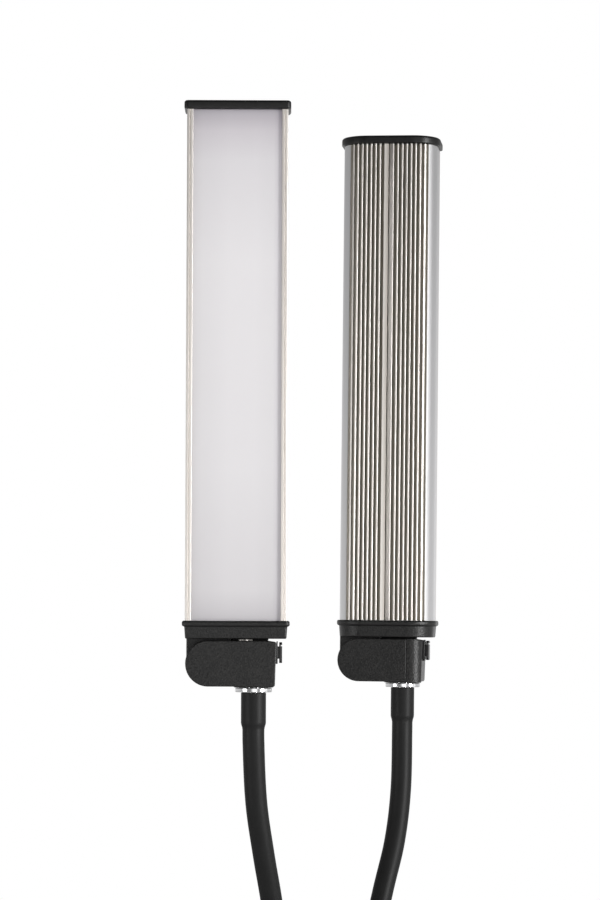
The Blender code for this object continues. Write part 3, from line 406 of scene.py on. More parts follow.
# %% Diffuser and circuit boards
SHEET_LOW, SHEET_LENGTH, SHEET_WIDTH = mm(38, 300, 53)


def milky_sheet():
    """Milk-white acrylic, shaded towards its edges."""
    look = Finish("milky diffuser", {"Specular IOR Level": 0.3})
    along = (look.axis(2) - SHEET_LOW) * (1 / SHEET_LENGTH)
    across = (look.axis(0) - BAR_CENTRE) * (1 / SHEET_WIDTH) + 0.5
    lilac = (0.785, 0.766, 0.78)
    ends = [(0.0, (0.6, 0.58, 0.6)), (0.06, (0.72, 0.7, 0.715)), (0.3, lilac), (0.7, lilac)]
    ends += [(0.9, (0.7, 0.68, 0.7)), (0.96, (0.6, 0.57, 0.6)), (1.0, (0.42, 0.395, 0.43))]
    sides = [(0.0, grey(0.86)), (0.12, grey(0.94)), (0.4, grey(1)), (0.7, grey(1)), (0.9, grey(0.96))]
    sides.append((1.0, (0.76, 0.75, 0.78)))
    colour = look.between(1.0, look.ramp(along, ends), look.ramp(across, sides), "MULTIPLY")
    speck = look.noise(3000, 1.0)
    return look.paint(colour, 0.42 + speck * 0.05, speck, 0.000003)


def board(name, mask, edge):
    """A circuit board's lacquer, with the glass weave showing through."""
    look = Finish(name, {"Specular IOR Level": 0.5})
    weave = look.noise(1200, 2.0)
    return look.paint(look.between(weave, mask, edge), 0.35 + weave * 0.1, weave, 0.00001)


diffuser_sheet = milky_sheet()
led_board = board("white circuit board", grey(0.75, 0.02), grey(0.82, 0.02))
driver_board = board("green circuit board", (0.01, 0.12, 0.04, 1), (0.02, 0.18, 0.07, 1))
pad_felt = moulded("beige pad", 0.5, 0.8, 0.00008, 0.2)
print("sheet, boards and pad:", diffuser_sheet.name, led_board.name, driver_board.name, pad_felt.name)

# %% [markdown]
# ## Outlines
# Nearly every piece of the lamp is a slab, a bar or a turned part, so it starts as
# a flat outline. Real corners are never sharp: `ease` rounds the corners that have
# a radius, and `grow` moves a whole outline in or out, which rounds the slab's
# edges when the outlines are stacked.

# %% Round and grow an outline
ROUND_STEPS = 4


def ease(corners):
    """A closed outline from (a, b) or (a, b, radius) corners, rounded by radius."""
    points = []
    for i, corner in enumerate(corners):
        here = Vector(corner[:2])
        if len(corner) == 2:
            points.append(here)
            continue
        back = (Vector(corners[i - 1][:2]) - here).normalized()
        ahead = (Vector(corners[(i + 1) % len(corners)][:2]) - here).normalized()
        half = back.angle(ahead) / 2
        centre = here + (back + ahead).normalized() * corner[2] / math.sin(half)
        start = here + back * corner[2] / math.tan(half) - centre
        end = here + ahead * corner[2] / math.tan(half) - centre
        sweep = math.pi - 2 * half
        for step in range(ROUND_STEPS + 1):
            angle = sweep * step / ROUND_STEPS
            first = math.sin(sweep - angle) / math.sin(sweep)
            second = math.sin(angle) / math.sin(sweep)
            points.append(centre + start * first + end * second)
    return points


def grow(outline, by):
    """The outline moved outward by a distance; a negative one moves it inward."""
    area = sum(a.cross(b) for a, b in zip(outline, outline[1:] + outline[:1]))
    side = 1 if area > 0 else -1
    moved = []
    for i, here in enumerate(outline):
        ahead = (outline[(i + 1) % len(outline)] - here).normalized()
        along = (ahead + (here - outline[i - 1]).normalized()).normalized()
        outward = Vector((along.y, -along.x)) * side
        level = Vector((ahead.y, -ahead.x)) * side
        moved.append(here + outward * by / max(outward.dot(level), 0.5))
    return moved


def arc(across, along, radius, start, end, steps):
    """Points of a circle's stretch, with its angles in degrees."""
    points = []
    for i in range(steps + 1):
        angle = math.radians(start + (end - start) * i / steps)
        points.append(Vector((across + radius * math.cos(angle), along + radius * math.sin(angle))))
    return points


def rectangle(left, right, low, high, *radius):
    """A rectangle's outline; with a radius, its corners are rounded."""
    corners = [(left, low), (right, low), (right, high), (left, high)]
    return ease([(*corner, *radius) for corner in corners])


# %% [markdown]
# ## Solids from outlines
# `tube` joins rows of points into one closed body, and `stack` gives it flat
# outlines at their heights. `edges` lists the heights and insets that turn a slab's
# sharp edge into a quarter round. The bodies are made in a bmesh, where neighbouring
# faces share their corners, so they come out closed.

# %% Stack and round
def bridge(bm, first, second, sides):
    """Faces between two rows of points; a row may be one point on the axis."""
    for i in range(sides):
        j = (i + 1) % sides
        corners = [first[i % len(first)], first[j % len(first)]]
        corners += [second[j % len(second)], second[i % len(second)]]
        bm.faces.new([v for n, v in enumerate(corners) if v not in corners[:n]])


def tube(rows):
    """A closed body through rows of points, each row as long as the next."""
    bm = bmesh.new()
    rings = [[bm.verts.new(point) for point in row] for row in rows]
    bm.faces.new(rings[0])
    bm.faces.new(rings[-1])
    for first, second in zip(rings, rings[1:]):
        bridge(bm, first, second, len(first))
    return bm


def stack(sections, place):
    """A closed body through (outline, height) sections; place puts points in space."""
    return tube([[place(*point, height) for point in outline] for outline, height in sections])


def edges(low, high, low_edge, high_edge):
    """(height, inset) rows that round a slab's lower and upper edge."""
    rows = []
    turns = [math.pi / 2 * i / ROUND_STEPS for i in range(ROUND_STEPS + 1)]
    for angle in turns if low_edge else [0.0]:
        rows.append((low + low_edge * (1 - math.cos(angle)), low_edge * (1 - math.sin(angle))))
    for angle in reversed(turns) if high_edge else [0.0]:
        rows.append((high - high_edge * (1 - math.cos(angle)), high_edge * (1 - math.sin(angle))))
    return rows


def slab(outline, low, high, low_edge, high_edge, place):
    """A slab with rounded edges."""
    rows = edges(low, high, low_edge, high_edge)
    return stack([(grow(outline, -inset), height) for height, inset in rows], place)


# %% [markdown]
# Screws, flanges, sleeves and holes are round. `turn` spins a profile of (radius,
# height) points about an axis, and `steps` writes the profile of a stepped body.

# %% Spin
def ring(radius, height, sides):
    """Points round the Z axis."""
    angles = [2 * math.pi * i / sides for i in range(sides)]
    return [Vector((radius * math.cos(a), radius * math.sin(a), height)) for a in angles]


def turn(profile, sides, place=Matrix(), bm=None):
    """Spins a profile about an axis; one that ends off the axis closes on itself."""
    bm = bm or bmesh.new()
    rows = []
    for radius, height in profile:
        points = ring(radius, height, sides if radius else 1)
        rows.append([bm.verts.new(place @ point) for point in points])
    pairs = list(zip(rows, rows[1:]))
    if len(rows[0]) > 1 and len(rows[-1]) > 1:
        pairs.append((rows[-1], rows[0]))
    for first, second in pairs:
        bridge(bm, first, second, sides)
    return bm


def turn_at(profile, sides, spots):
    """The same turned body at several places."""
    bm = bmesh.new()
    for spot in spots:
        turn(profile, sides, Matrix.Translation(spot), bm)
    return bm


def steps(low, *cylinders):
    """Profile of cylinders on each other; each is its radius and its upper end."""
    points = [(0, low)]
    for radius, high in cylinders:
        points += [(radius, low), (radius, high)]
        low = high
    return [*points, (0, low)]


def round_bar(radius, low, high, place=Matrix(), sides=32):
    """A plain rod to cut with."""
    return turn(steps(low, (radius, high)), sides, place)


# %% [markdown]
# ## From mesh to piece
# A piece must ride on a body, so that it moves when the lamp folds. Nearly every
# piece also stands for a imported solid, which is then hidden. Weighted normals keep
# broad faces flat and let the light turn only on the rounded edges, as on a real
# moulding.

# %% Keep a piece
pieces = []
SHARP_FROM = math.radians(40)


def link(name, data):
    """Makes an object from its data and puts it in the scene."""
    made = bpy.data.objects.new(name, data)
    bpy.context.scene.collection.objects.link(made)
    return made


def solid_of(name, bm):
    """Turns a bmesh into an object whose faces look outward."""
    bmesh.ops.recalc_face_normals(bm, faces=bm.faces)
    mesh = bpy.data.meshes.new(name)
    bm.to_mesh(mesh)
    bm.free()
    return link(name, mesh)


def settle(piece):
    """Turns a piece's modifiers into plain mesh."""
    bpy.context.view_layer.update()
    graph = bpy.context.evaluated_depsgraph_get()
    mesh = bpy.data.meshes.new_from_object(piece.evaluated_get(graph))
    piece.modifiers.clear()
    piece.data = mesh


def keep(name, bm, look, body, slot, stands_for=(), place=Matrix()):
    """Makes a piece from a bmesh and lets it ride on its body."""
    piece = solid_of(name, bm)
    piece.data.materials.append(look)
    piece.data.shade_smooth()
    piece.data.set_sharp_from_angle(angle=SHARP_FROM)
    piece.matrix_world = place
    piece.modifiers.new("Even normals", "WEIGHTED_NORMAL").keep_sharp = True
    settle(piece)
    if body:
        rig.ride(piece, body)
    if stands_for:
        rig.replaces(piece, *stands_for)
    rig.slot(piece, slot)
    pieces.append(piece)
    print("made", name, "with", len(piece.data.polygons), "faces")
    return piece


# %% [markdown]
# Holes are cut and parts joined on with exact booleans, as a drill and a glued joint
# would do it. The helpers' meshes are thrown away afterwards. A rounded edge comes
# from a bevel on just the edges that a test picks.

# %% Cut a body, soften its edges
def carve(bm, tools, operation="DIFFERENCE"):
    """Cuts closed bmeshes out of another, or joins them on, and returns the result."""
    bodies = [solid_of("carving", part) for part in (bm, *tools)]
    for tool in bodies[1:]:
        cut = bodies[0].modifiers.new("Cut", "BOOLEAN")
        cut.operation = operation
        cut.solver = "EXACT"
        cut.object = tool
    settle(bodies[0])
    result = bmesh.new()
    result.from_mesh(bodies[0].data)
    for part in bodies:
        bpy.data.meshes.remove(part.data)
    return result


def soften(bm, width, chosen):
    """Rounds the sharp edges whose two ends both pass the test chosen(point)."""
    sharp = []
    for edge in bm.edges:
        ends = all(chosen(corner.co) for corner in edge.verts)
        if ends and len(edge.link_faces) == 2 and edge.calc_face_angle(0) > math.radians(30):
            sharp.append(edge)
    shape = {"segments": 3, "profile": 0.5, "affect": "EDGES", "clamp_overlap": True}
    bmesh.ops.bevel(bm, geom=sharp, offset=width, **shape)


# %% [markdown]
# ## Where the heads are
# Each head (block and bar) is built in its own axes: across, back and up from the
# place where the neck ends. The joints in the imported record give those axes, so a
# tilted head needs no sums. The two heads are alike, but mirrored front to back.

# %% The heads' own axes
BAR_LOW, BAR_HIGH = mm(38.3, 338.3)
FRONT = {"left": -1, "right": 1}

joints = {joint["name"]: joint for joint in frame["joints"]}


class Head:
    """One arm's head: its place, and how its outlines lie in it."""

    def __init__(self, side):
        self.side = side
        up = Vector(joints[f"{side}_swivel"]["axis"]).normalized()
        back = -Vector(joints[f"{side}_fold"]["axis"]).normalized()
        self.place = Matrix((back.cross(up), back, up)).transposed().to_4x4()
        self.place.translation = joints[f"{side}_swivel"]["pos_m"]

    def plan(self, across, depth, height):
        """A point of the block's plan; depth runs from front to back."""
        return Vector((across, FRONT[self.side] * (BAR_DEPTH / 2 - depth), height))

    def bar_plan(self, across, depth, height):
        """The same, with across counted from the bar's centre."""
        return self.plan(BAR_CENTRE + across, depth, height)

    def profile(self, across, height, depth):
        """A point of the block's side view."""
        return self.plan(across, depth, height)

    def end(self, depth, height, across):
        """A point of the block's square end."""
        return self.plan(across, depth, height)

    def keep(self, label, bm, look, slot, body, solids):
        """Keeps a piece of this head; body and solids are named without the side."""
        stands_for = [f"{self.side}_{solid}" for solid in solids]
        body = f"{self.side}_{body}"
        return keep(f"{self.side}_{label}_fine", bm, look, body, slot, stands_for, self.place)


heads = [Head(side) for side in FRONT]
for head in heads:
    print(head.side, "head at", [round(c / MM, 1) for c in head.place.translation], "mm")

# %% [markdown]
# ## The extrusion
# The bar is one aluminium section, so one outline pushed along its length makes it.
# Seven thin fins stand on each side of two thick ones with a slot between them, and
# the outer fins get shorter as the back rounds off. Each tip and each root has its
# own small radius, and those radii catch the light as the fine bright lines.

# %% The section of the bar
HALF_WIDTH = BAR_WIDTH / 2
FIN_COUNT, FIN_FIRST, FIN_PITCH, FIN_THICK = 7, 5.6 * MM, 2.82 * MM, 1.25 * MM
FIN_FLOOR, FIN_TIP_RADIUS, FIN_ROOT_RADIUS = mm(28.8, 0.45, 0.3)
SLOT_HALF, SPINE_OUTER, SPINE_FALL = mm(0.3, 3.2, 0.45)
LIP_WIDTH, LIP_THICK = mm(3.6, 1.2)
GROOVE_END, LEDGE_END, INNER_REAR = mm(3.6, 4.8, 27.2)
WALL = 1.6 * MM


def back_depth(across):
    """Depth of the back: flat, then falling round the corner."""
    past = across - (BAR_WIDTH / 2 - BAR_CORNER)
    if past <= 0:
        return BAR_DEPTH
    return BAR_DEPTH - BAR_CORNER + math.sqrt(BAR_CORNER**2 - past**2)


def fin(near, far):
    """Corners of one fin, from its root up, over its tip and down."""
    tips = [(across, back_depth(across), FIN_TIP_RADIUS) for across in (near, far)]
    return [(near, FIN_FLOOR, FIN_ROOT_RADIUS), *tips, (far, FIN_FLOOR, FIN_ROOT_RADIUS)]


def half_section():
    """Right half of the section, from the slot round the outside to the inside."""
    half = HALF_WIDTH
    corners = fin(SLOT_HALF, SPINE_OUTER)
    corners[0] = (SLOT_HALF, FIN_FLOOR)
    corners[1] = (SLOT_HALF, BAR_DEPTH - SPINE_FALL, 0.2 * MM)
    for i in range(FIN_COUNT):
        near = FIN_FIRST + i * FIN_PITCH - FIN_THICK / 2
        corners += fin(near, near + FIN_THICK)
    edge = FIN_FIRST + FIN_COUNT * FIN_PITCH - FIN_THICK / 2
    corners.append((edge, FIN_FLOOR, FIN_ROOT_RADIUS))
    start = math.degrees(math.acos((edge - half + BAR_CORNER) / BAR_CORNER))
    corners += arc(half - BAR_CORNER, BAR_DEPTH - BAR_CORNER, BAR_CORNER, start, 0, 14)
    lip, line = half - LIP_WIDTH, half - LIP_WIDTH / 2
    corners += [(half, 0, 0.5 * MM), (line + 0.3 * MM, 0, 0.12 * MM), (line, 0.5 * MM, 0.1 * MM)]
    corners += [(line - 0.3 * MM, 0, 0.12 * MM), (lip, 0, 0.3 * MM), (lip, LIP_THICK, 0.15 * MM)]
    corners += [(lip + 1.5 * MM, LIP_THICK), (lip + 1.5 * MM, GROOVE_END)]
    corners += [(lip + 0.3 * MM, GROOVE_END), (lip + 0.3 * MM, LEDGE_END), (half - WALL, LEDGE_END)]
    inner = BAR_CORNER - WALL
    end = math.degrees(math.asin((INNER_REAR - BAR_DEPTH + BAR_CORNER) / inner))
    corners += arc(half - BAR_CORNER, BAR_DEPTH - BAR_CORNER, inner, 0, end, 6)
    return corners


right_half = half_section()
left_half = [(-corner[0], *corner[1:]) for corner in reversed(right_half)]
section = ease(right_half + left_half)
print("section:", len(section), "points")

# %% [markdown]
# The sheet slides into the grooves behind the bar's front edges. It is a flat
# slab, so only its long edges need rounding.

# %% Housing and diffuser of both bars
SHEET_HALF = HALF_WIDTH - LIP_WIDTH + 1.2 * MM
sheet = rectangle(-SHEET_HALF, SHEET_HALF, 1.5 * MM, 3.3 * MM, 0.3 * MM)

for head in heads:
    for name, outline, look, slot in (
        ("housing", section, bar_aluminium, "bar_aluminium"),
        ("diffuser", sheet, diffuser_sheet, "diffuser"),
    ):
        body = stack([(outline, BAR_LOW), (outline, BAR_HIGH)], head.bar_plan)
        head.keep(name, body, look, slot, "bar", [name])

# %% [markdown]
# ## The end caps
# Both caps follow the bar's outline a little outside it: small corners in front,
# wide ones behind. The upper cap is a slab with a wide round on its upper edge. The
# lower cap is a rim, a skirt that narrows downward as a mould needs, and a tongue
# that hangs into the hinge block. Two screws hold each cap.

# %% Outline of a cap
def cap_outline(overhang, front_corner):
    """The bar's outline, grown by the overhang."""
    half = BAR_WIDTH / 2 + overhang
    rear = BAR_CORNER + overhang
    front, back = -overhang, BAR_DEPTH + overhang
    return [
        *arc(-half + front_corner, front + front_corner, front_corner, 180, 270, 6),
        *arc(half - front_corner, front + front_corner, front_corner, 270, 360, 6),
        *arc(half - rear, back - rear, rear, 0, 90, 16),
        *arc(-half + rear, back - rear, rear, 90, 180, 16),
    ]


# %% Screw holes of a cap
PORTS, PORT_DEPTH = (-24.2 * MM, 24.2 * MM), 23.2 * MM
SCREW_SHANK, SCREW_HEAD, SCREW_HEAD_THICK = mm(1.15, 2.5, 1.6)
CLEAR = 0.3 * MM
HOLE_SLIM, HOLE_WIDE = SCREW_SHANK + CLEAR, SCREW_HEAD + CLEAR


def screw_holes(head, low, step, high, lower, upper):
    """Stepped holes for the two cap screws."""
    spots = [head.bar_plan(across, PORT_DEPTH, 0) for across in PORTS]
    return turn_at(steps(low, (lower, step), (upper, high)), 24, spots)


# %% Upper caps
CAP_LOW, CAP_HIGH = mm(338.6, 343.5)
OVERHANG, RIM_CORNER = mm(1.7, 2.6)
CAP_SEAT = CAP_HIGH - SCREW_HEAD_THICK - CLEAR

for head in heads:
    cap = slab(cap_outline(OVERHANG, RIM_CORNER), CAP_LOW, CAP_HIGH, 0.7 * MM, 1.5 * MM, head.bar_plan)
    holes = screw_holes(head, CAP_LOW - CLEAR, CAP_SEAT, CAP_HIGH + CLEAR, HOLE_SLIM, HOLE_WIDE)
    head.keep("top_cap", carve(cap, [holes]), cap_plastic, "black_plastic", "bar", ["top_cap"])

# %% Lower caps
SKIRT_LOW, RIM_LOW, RIM_HIGH = mm(27.8, 34.95, 38.25)
FILLET, DRAFT = mm(0.4, 0.5)
PIVOT_ACROSS, BLOCK_HALF = mm(-26.35, 13.35)
TONGUE_RADIUS, TONGUE_HALF = mm(13.05, 6)
BOLT_HOLE = 3.3 * MM


def lower_cap(head):
    """Rim and skirt as one stack, so the rim flows into the skirt with a fillet."""
    skirt, rim = cap_outline(0.3 * MM, 1.6 * MM), cap_outline(OVERHANG, RIM_CORNER)
    bend = RIM_LOW - FILLET
    sections = []
    for height, inset in edges(SKIRT_LOW, bend, 0.7 * MM, 0)[:-1]:
        draft = DRAFT * (RIM_LOW - height) / (RIM_LOW - SKIRT_LOW)
        sections.append((grow(skirt, -inset - draft), height))
    sections += [(skirt, bend), (grow(skirt, FILLET), RIM_LOW)]
    for height, inset in edges(RIM_LOW, RIM_HIGH, 1.1 * MM, 1.1 * MM):
        sections.append((grow(rim, -min(inset, 0.95 * MM)), height))
    return stack(sections, head.bar_plan)


def tongue(head):
    """The round-ended tongue, all its edges eased."""
    left, right = PIVOT_ACROSS - TONGUE_RADIUS, PIVOT_ACROSS + TONGUE_RADIUS
    top = SKIRT_LOW + 1.2 * MM
    outline = arc(PIVOT_ACROSS, BLOCK_HALF, TONGUE_RADIUS, 180, 360, 32)
    outline += [Vector((right, top)), Vector((left, top))]
    middle = BAR_DEPTH / 2
    return slab(outline, middle - TONGUE_HALF, middle + TONGUE_HALF, 0.9 * MM, 0.9 * MM, head.profile)


for head in heads:
    seat = SKIRT_LOW + SCREW_HEAD_THICK + CLEAR
    holes = screw_holes(head, SKIRT_LOW - CLEAR, seat, RIM_HIGH + CLEAR, HOLE_WIDE, HOLE_SLIM)
    pivot = Matrix.Translation((PIVOT_ACROSS, 0, BLOCK_HALF)) @ Matrix.Rotation(math.pi / 2, 4, "X")
    cap = carve(lower_cap(head), [tongue(head)], "UNION")
    cap = carve(cap, [holes, round_bar(BOLT_HOLE, -9 * MM, 9 * MM, pivot)])
    head.keep("bottom_cap", cap, black_plastic, "black_plastic", "bar", ["bottom_cap"])

# %% [markdown]
# ## The hinge block
# The block is a fork. A slot from its round end takes the tongue, a wide radius
# rounds its square end at the back, and a plate closes its rear. Such a shape is
# quickest as a slab with cuts, and only the edges on its outside are then rounded.

# %% Outline of the block
BLOCK_END, BLOCK_CORNER, BLOCK_HIGH = mm(13.3, 8, 26.7)
END_DROP, END_LEAN = mm(0.9, 0.8)


def block_outline(right, drop=0.0, lean=0.0):
    """Side view: round at the pivot, square at the other end, which may slope."""
    half_round = arc(PIVOT_ACROSS, BLOCK_HALF, BLOCK_HALF, 90, 270, 48)
    square = [(PIVOT_ACROSS, 0), (right - lean, 0, 1 * MM)]
    square += [(right, BLOCK_HIGH - drop, 1 * MM), (right - 6 * MM, BLOCK_HIGH)]
    return half_round + ease(square)[1:]


def box_between(low, high, place):
    """A box to cut with, from its lowest and highest (across, depth, height)."""
    outline = rectangle(low[0], high[0], low[1], high[1])
    return stack([(outline, low[2]), (outline, high[2])], place)


# %% Cuts of the block
SLOT_NEAR, SLOT_FAR, SLOT_SPARE = mm(9.2, 23.1, 0.45)
COVER_NEAR, COVER_RIGHT = mm(32.1, 3.3)
STUB_HOLE = 5.5 * MM
NUT_ROOM, NUT_LOW, NUT_HIGH = mm(9.2, 2.2, 7.2)
BEYOND = 1 * MM


def block_cuts(head):
    """The rounded rear corner, the slot, the cover's rebate, the stub's hole and its nut's room."""
    corner = BLOCK_END - BLOCK_CORNER
    right, rear = BLOCK_END + BEYOND, BAR_DEPTH + BEYOND
    waste = [Vector((right, rear)), Vector((corner, rear))]
    waste += arc(corner, BAR_DEPTH - BLOCK_CORNER, BLOCK_CORNER, 90, 0, 20)
    waste.append(Vector((right, BAR_DEPTH - BLOCK_CORNER)))
    left = PIVOT_ACROSS - BLOCK_HALF - BEYOND
    slot_end = PIVOT_ACROSS + TONGUE_RADIUS + SLOT_SPARE
    under, over = -2 * BEYOND, BLOCK_HIGH + BEYOND
    return [
        stack([(waste, under), (waste, over)], head.plan),
        box_between((left, SLOT_NEAR, under), (slot_end, SLOT_FAR, over), head.plan),
        box_between((left, COVER_NEAR - CLEAR, under), (COVER_RIGHT + CLEAR, rear, over), head.plan),
        round_bar(STUB_HOLE, under, 4 * MM),
        round_bar(NUT_ROOM, NUT_LOW, NUT_HIGH),
    ]


def switch_room(head):
    """The hole in the square end that takes the switch."""
    middle, half = BAR_DEPTH / 2, 4.3 * MM
    low = (6 * MM, middle - half, 14.9 * MM)
    high = (BLOCK_END + BEYOND, middle + half, 24.5 * MM)
    return box_between(low, high, head.plan)


# %% Blocks, their bosses and covers
BOSS_RADIUS, BOSS_HEIGHT, CHAMFER = mm(11.8, 0.7, 0.3)
TOP_ZONE = BLOCK_HIGH - 1.2 * MM

boss = [(0, -BOSS_HEIGHT), (BOSS_RADIUS - CHAMFER, -BOSS_HEIGHT), (BOSS_RADIUS, 0)]
boss += [(BOSS_RADIUS, 1 * MM), (0, 1 * MM)]
outline = block_outline(BLOCK_END, END_DROP, END_LEAN)
for head in heads:
    front = FRONT[head.side] * BAR_DEPTH / 2
    body = stack([(outline, 0), (outline, BAR_DEPTH)], head.profile)
    body = carve(body, [turn(boss, 48)], "UNION")
    body = carve(body, [*block_cuts(head), switch_room(head)])
    soften(body, 0.6 * MM, lambda point: abs(point.y - front) < 0.01 * MM)
    soften(body, 0.5 * MM, lambda point: point.z > TOP_ZONE and point.x > COVER_RIGHT + 1 * MM)
    head.keep("block", body, black_plastic, "black_plastic", "block", ["block_body"])
    plate = slab(block_outline(COVER_RIGHT), COVER_NEAR, BAR_DEPTH, 0, 0.5 * MM, head.profile)
    head.keep("block_cover", plate, black_plastic, "black_plastic", "block", ["block_cover"])

# %% [markdown]
# Two thin pads lie on each block, in the gap under the lower cap: a black rubber one
# and a beige felt one, which the picture shows as a sliver. Both are low slabs.

# %% Pads in the gap over the block
PAD_HIGH = 1.05 * MM


def pad(head, left, right, near, far, high):
    """A strip on the block's top."""
    outline = rectangle(left, right, near, far, 0.5 * MM)
    return slab(outline, BLOCK_HIGH + 0.02 * MM, BLOCK_HIGH + high, 0, 0.2 * MM, head.plan)


for head in heads:
    rubber = pad(head, -13.25 * MM, 8.6 * MM, 11.8 * MM, 21.8 * MM, PAD_HIGH)
    head.keep("stop_pad", rubber, neck_rubber, "neck_rubber", "block", [])
    felt = pad(head, -8.5 * MM, -0.6 * MM, 1.2 * MM, 8 * MM, PAD_HIGH * 0.6)
    head.keep("felt_pad", felt, pad_felt, "neck_rubber", "block", [])

# %% [markdown]
# ## The push switch
# The switch sits in the block's square end: a black frame with a collar, and a
# hollow cap that slides over the collar. The cap rides on the button's own body,
# because it moves when it is pressed.

# %% Outline and frame of a switch
SWITCH_HEIGHT, SWITCH_WIDTH, SWITCH_CENTRE = mm(13.2, 11, 19.7)
SWITCH_FACE, SWITCH_OUTER, INNER_EDGE = mm(13.35, 14.1, 0.2)
COLLAR_LOW, COLLAR_HIGH = mm(13.6, 15.1)
BLOCK_LEAN = 0.031


def switch_outline(inset, radius):
    """A rounded rectangle about the switch's centre, as (depth, height)."""
    wide, tall = SWITCH_WIDTH / 2 - inset, SWITCH_HEIGHT / 2 - inset
    middle = BAR_DEPTH / 2
    return rectangle(middle - wide, middle + wide, SWITCH_CENTRE - tall, SWITCH_CENTRE + tall, radius)


def frame_sections():
    """The frame, the groove inside it and the collar in the middle."""
    rows = edges(SWITCH_FACE, SWITCH_OUTER, INNER_EDGE, 0.3 * MM)
    sections = [(switch_outline(inset, 1.4 * MM - inset), height) for height, inset in rows]
    for inset, radius, heights in (
        (1.0 * MM, 0.6 * MM, [SWITCH_OUTER]),
        (1.1 * MM, 0.5 * MM, [SWITCH_OUTER - 0.1 * MM, COLLAR_LOW]),
        (3 * MM, 0.5 * MM, [COLLAR_LOW, COLLAR_HIGH]),
    ):
        sections += [(switch_outline(inset, radius), height) for height in heights]
    return sections


def against_block(head):
    """Places the frame's points, so that its inner face leans with the block's end."""

    def place(depth, height, across):
        inner = across < SWITCH_FACE + INNER_EDGE + 0.01 * MM
        lean = BLOCK_LEAN * (BLOCK_HIGH - END_DROP - height) if inner else 0
        return head.end(depth, height, across - lean)

    return place


# %% Frames and caps of the switches
KEY_NEAR, KEY_FAR = mm(14.95, 16.7)
HOLLOW_NEAR, HOLLOW_FAR = mm(14.5, 15.95)
NOTCH_HALF = 8 * MM

for head in heads:
    body = stack(frame_sections(), against_block(head))
    head.keep("switch_frame", body, switch_plastic, "switch_plastic", "block", ["switch_frame"])
    key = slab(switch_outline(0.55 * MM, 1.2 * MM), KEY_NEAR, KEY_FAR, 0.25 * MM, 0.35 * MM, head.end)
    notch_low = (15.9 * MM, BAR_DEPTH / 2 - NOTCH_HALF, 23.4 * MM)
    notch_high = (17 * MM, BAR_DEPTH / 2 + NOTCH_HALF, 24.1 * MM)
    inside = switch_outline(2.6 * MM, 0.5 * MM)
    hollow = stack([(inside, HOLLOW_NEAR), (inside, HOLLOW_FAR)], head.end)
    key = carve(key, [box_between(notch_low, notch_high, head.plan), hollow])
    head.keep("switch_cap", key, switch_plastic, "switch_plastic", "button", ["switch_button"])

# %% [markdown]
# ## The neck's upper end
# A bright flange with a threaded stub holds the block, and a rubber sleeve is
# shrunk over the neck under it. The sleeve is widest at the flange and then flows
# into the neck, so its profile gets a soft step and no edge.

# %% Profile of a flange
FLANGE_TOP, FLANGE_LOW, FLANGE_RADIUS = mm(-1.0, -3.4, 10.85)
STUB_RADIUS, STUB_TOP, SPIGOT_RADIUS = mm(5.2, 5.7, 3.8)
NECK_END = -3.7 * MM


def flange_rim(low, high):
    """Profile of a flange's rim, with two small chamfers."""
    inner = FLANGE_RADIUS - CHAMFER
    return [(inner, low), (FLANGE_RADIUS, low + CHAMFER), (FLANGE_RADIUS, high - CHAMFER), (inner, high)]


def flange_profile():
    """The flange with its spigot below and its stub above."""
    foot = NECK_END - 9 * MM
    spigot = [(0, foot), (SPIGOT_RADIUS, foot), (SPIGOT_RADIUS, FLANGE_LOW)]
    stub = [(STUB_RADIUS, FLANGE_TOP), (STUB_RADIUS, STUB_TOP), (0, STUB_TOP)]
    return [*spigot, *flange_rim(FLANGE_LOW, FLANGE_TOP), *stub]


# %% Profile of a sleeve; both on each head
NECK_RADIUS, SLEEVE_RADIUS = mm(6.45, 7.35)
SLEEVE_LOW, SLEEVE_END = NECK_END - 17.4 * MM, NECK_END - 21.4 * MM
FLOW_STEPS = 8


def sleeve_profile():
    """Outside of the sleeve from its top down, and its bore back up."""
    bore = NECK_RADIUS + 0.05 * MM
    points = [(bore, NECK_END), (SLEEVE_RADIUS - 0.3 * MM, NECK_END), (SLEEVE_RADIUS, NECK_END - 0.4 * MM)]
    for step in range(FLOW_STEPS + 1):
        share = step / FLOW_STEPS
        soft = share * share * (3 - 2 * share)
        height = SLEEVE_LOW + (SLEEVE_END - SLEEVE_LOW) * share
        points.append((SLEEVE_RADIUS + (bore + 0.02 * MM - SLEEVE_RADIUS) * soft, height))
    return [*points, (bore, SLEEVE_END)]


for head in heads:
    head.keep("flange", turn(flange_profile(), 64), chrome, "fitting_chrome", "neck_d", ["neck_fitting"])
    head.keep("sleeve", turn(sleeve_profile(), 48), neck_rubber, "neck_rubber", "neck_d", ["neck_sleeve"])

# %% [markdown]
# ## The necks
# A bendable neck stays where it is put, and its skin has no joints. Four joints
# stand in for its bending, so the skin is made in four lengths, and each length
# bends smoothly over one joint. The lengths meet halfway between two joints,
# where neither of them bends, so no seam opens.

# %% Centre line of a neck
ROOT_HEIGHT, NECK_ACROSS, RISE = mm(78.7, 22, 318)
BELOW_FOOT, STRAIGHT_END = mm(7, 26)
CURVE_STEPS = 12
FOOT = {"left": Vector((-NECK_ACROSS, 0, ROOT_HEIGHT)), "right": Vector((NECK_ACROSS, 0, ROOT_HEIGHT))}
BENDS = {
    "left": [(0.25, 1.7, -8), (0.45, 0.2, -25), (0.6, -5.5, -41.5), (0.7, -10.6, -51.5), (0.8, -14.9, -59)],
    "right": [(0.25, 1, 8), (0.45, 7.2, 25), (0.6, 18.2, 41.5), (0.7, 26.4, 51.5), (0.8, 30.7, 59)],
}


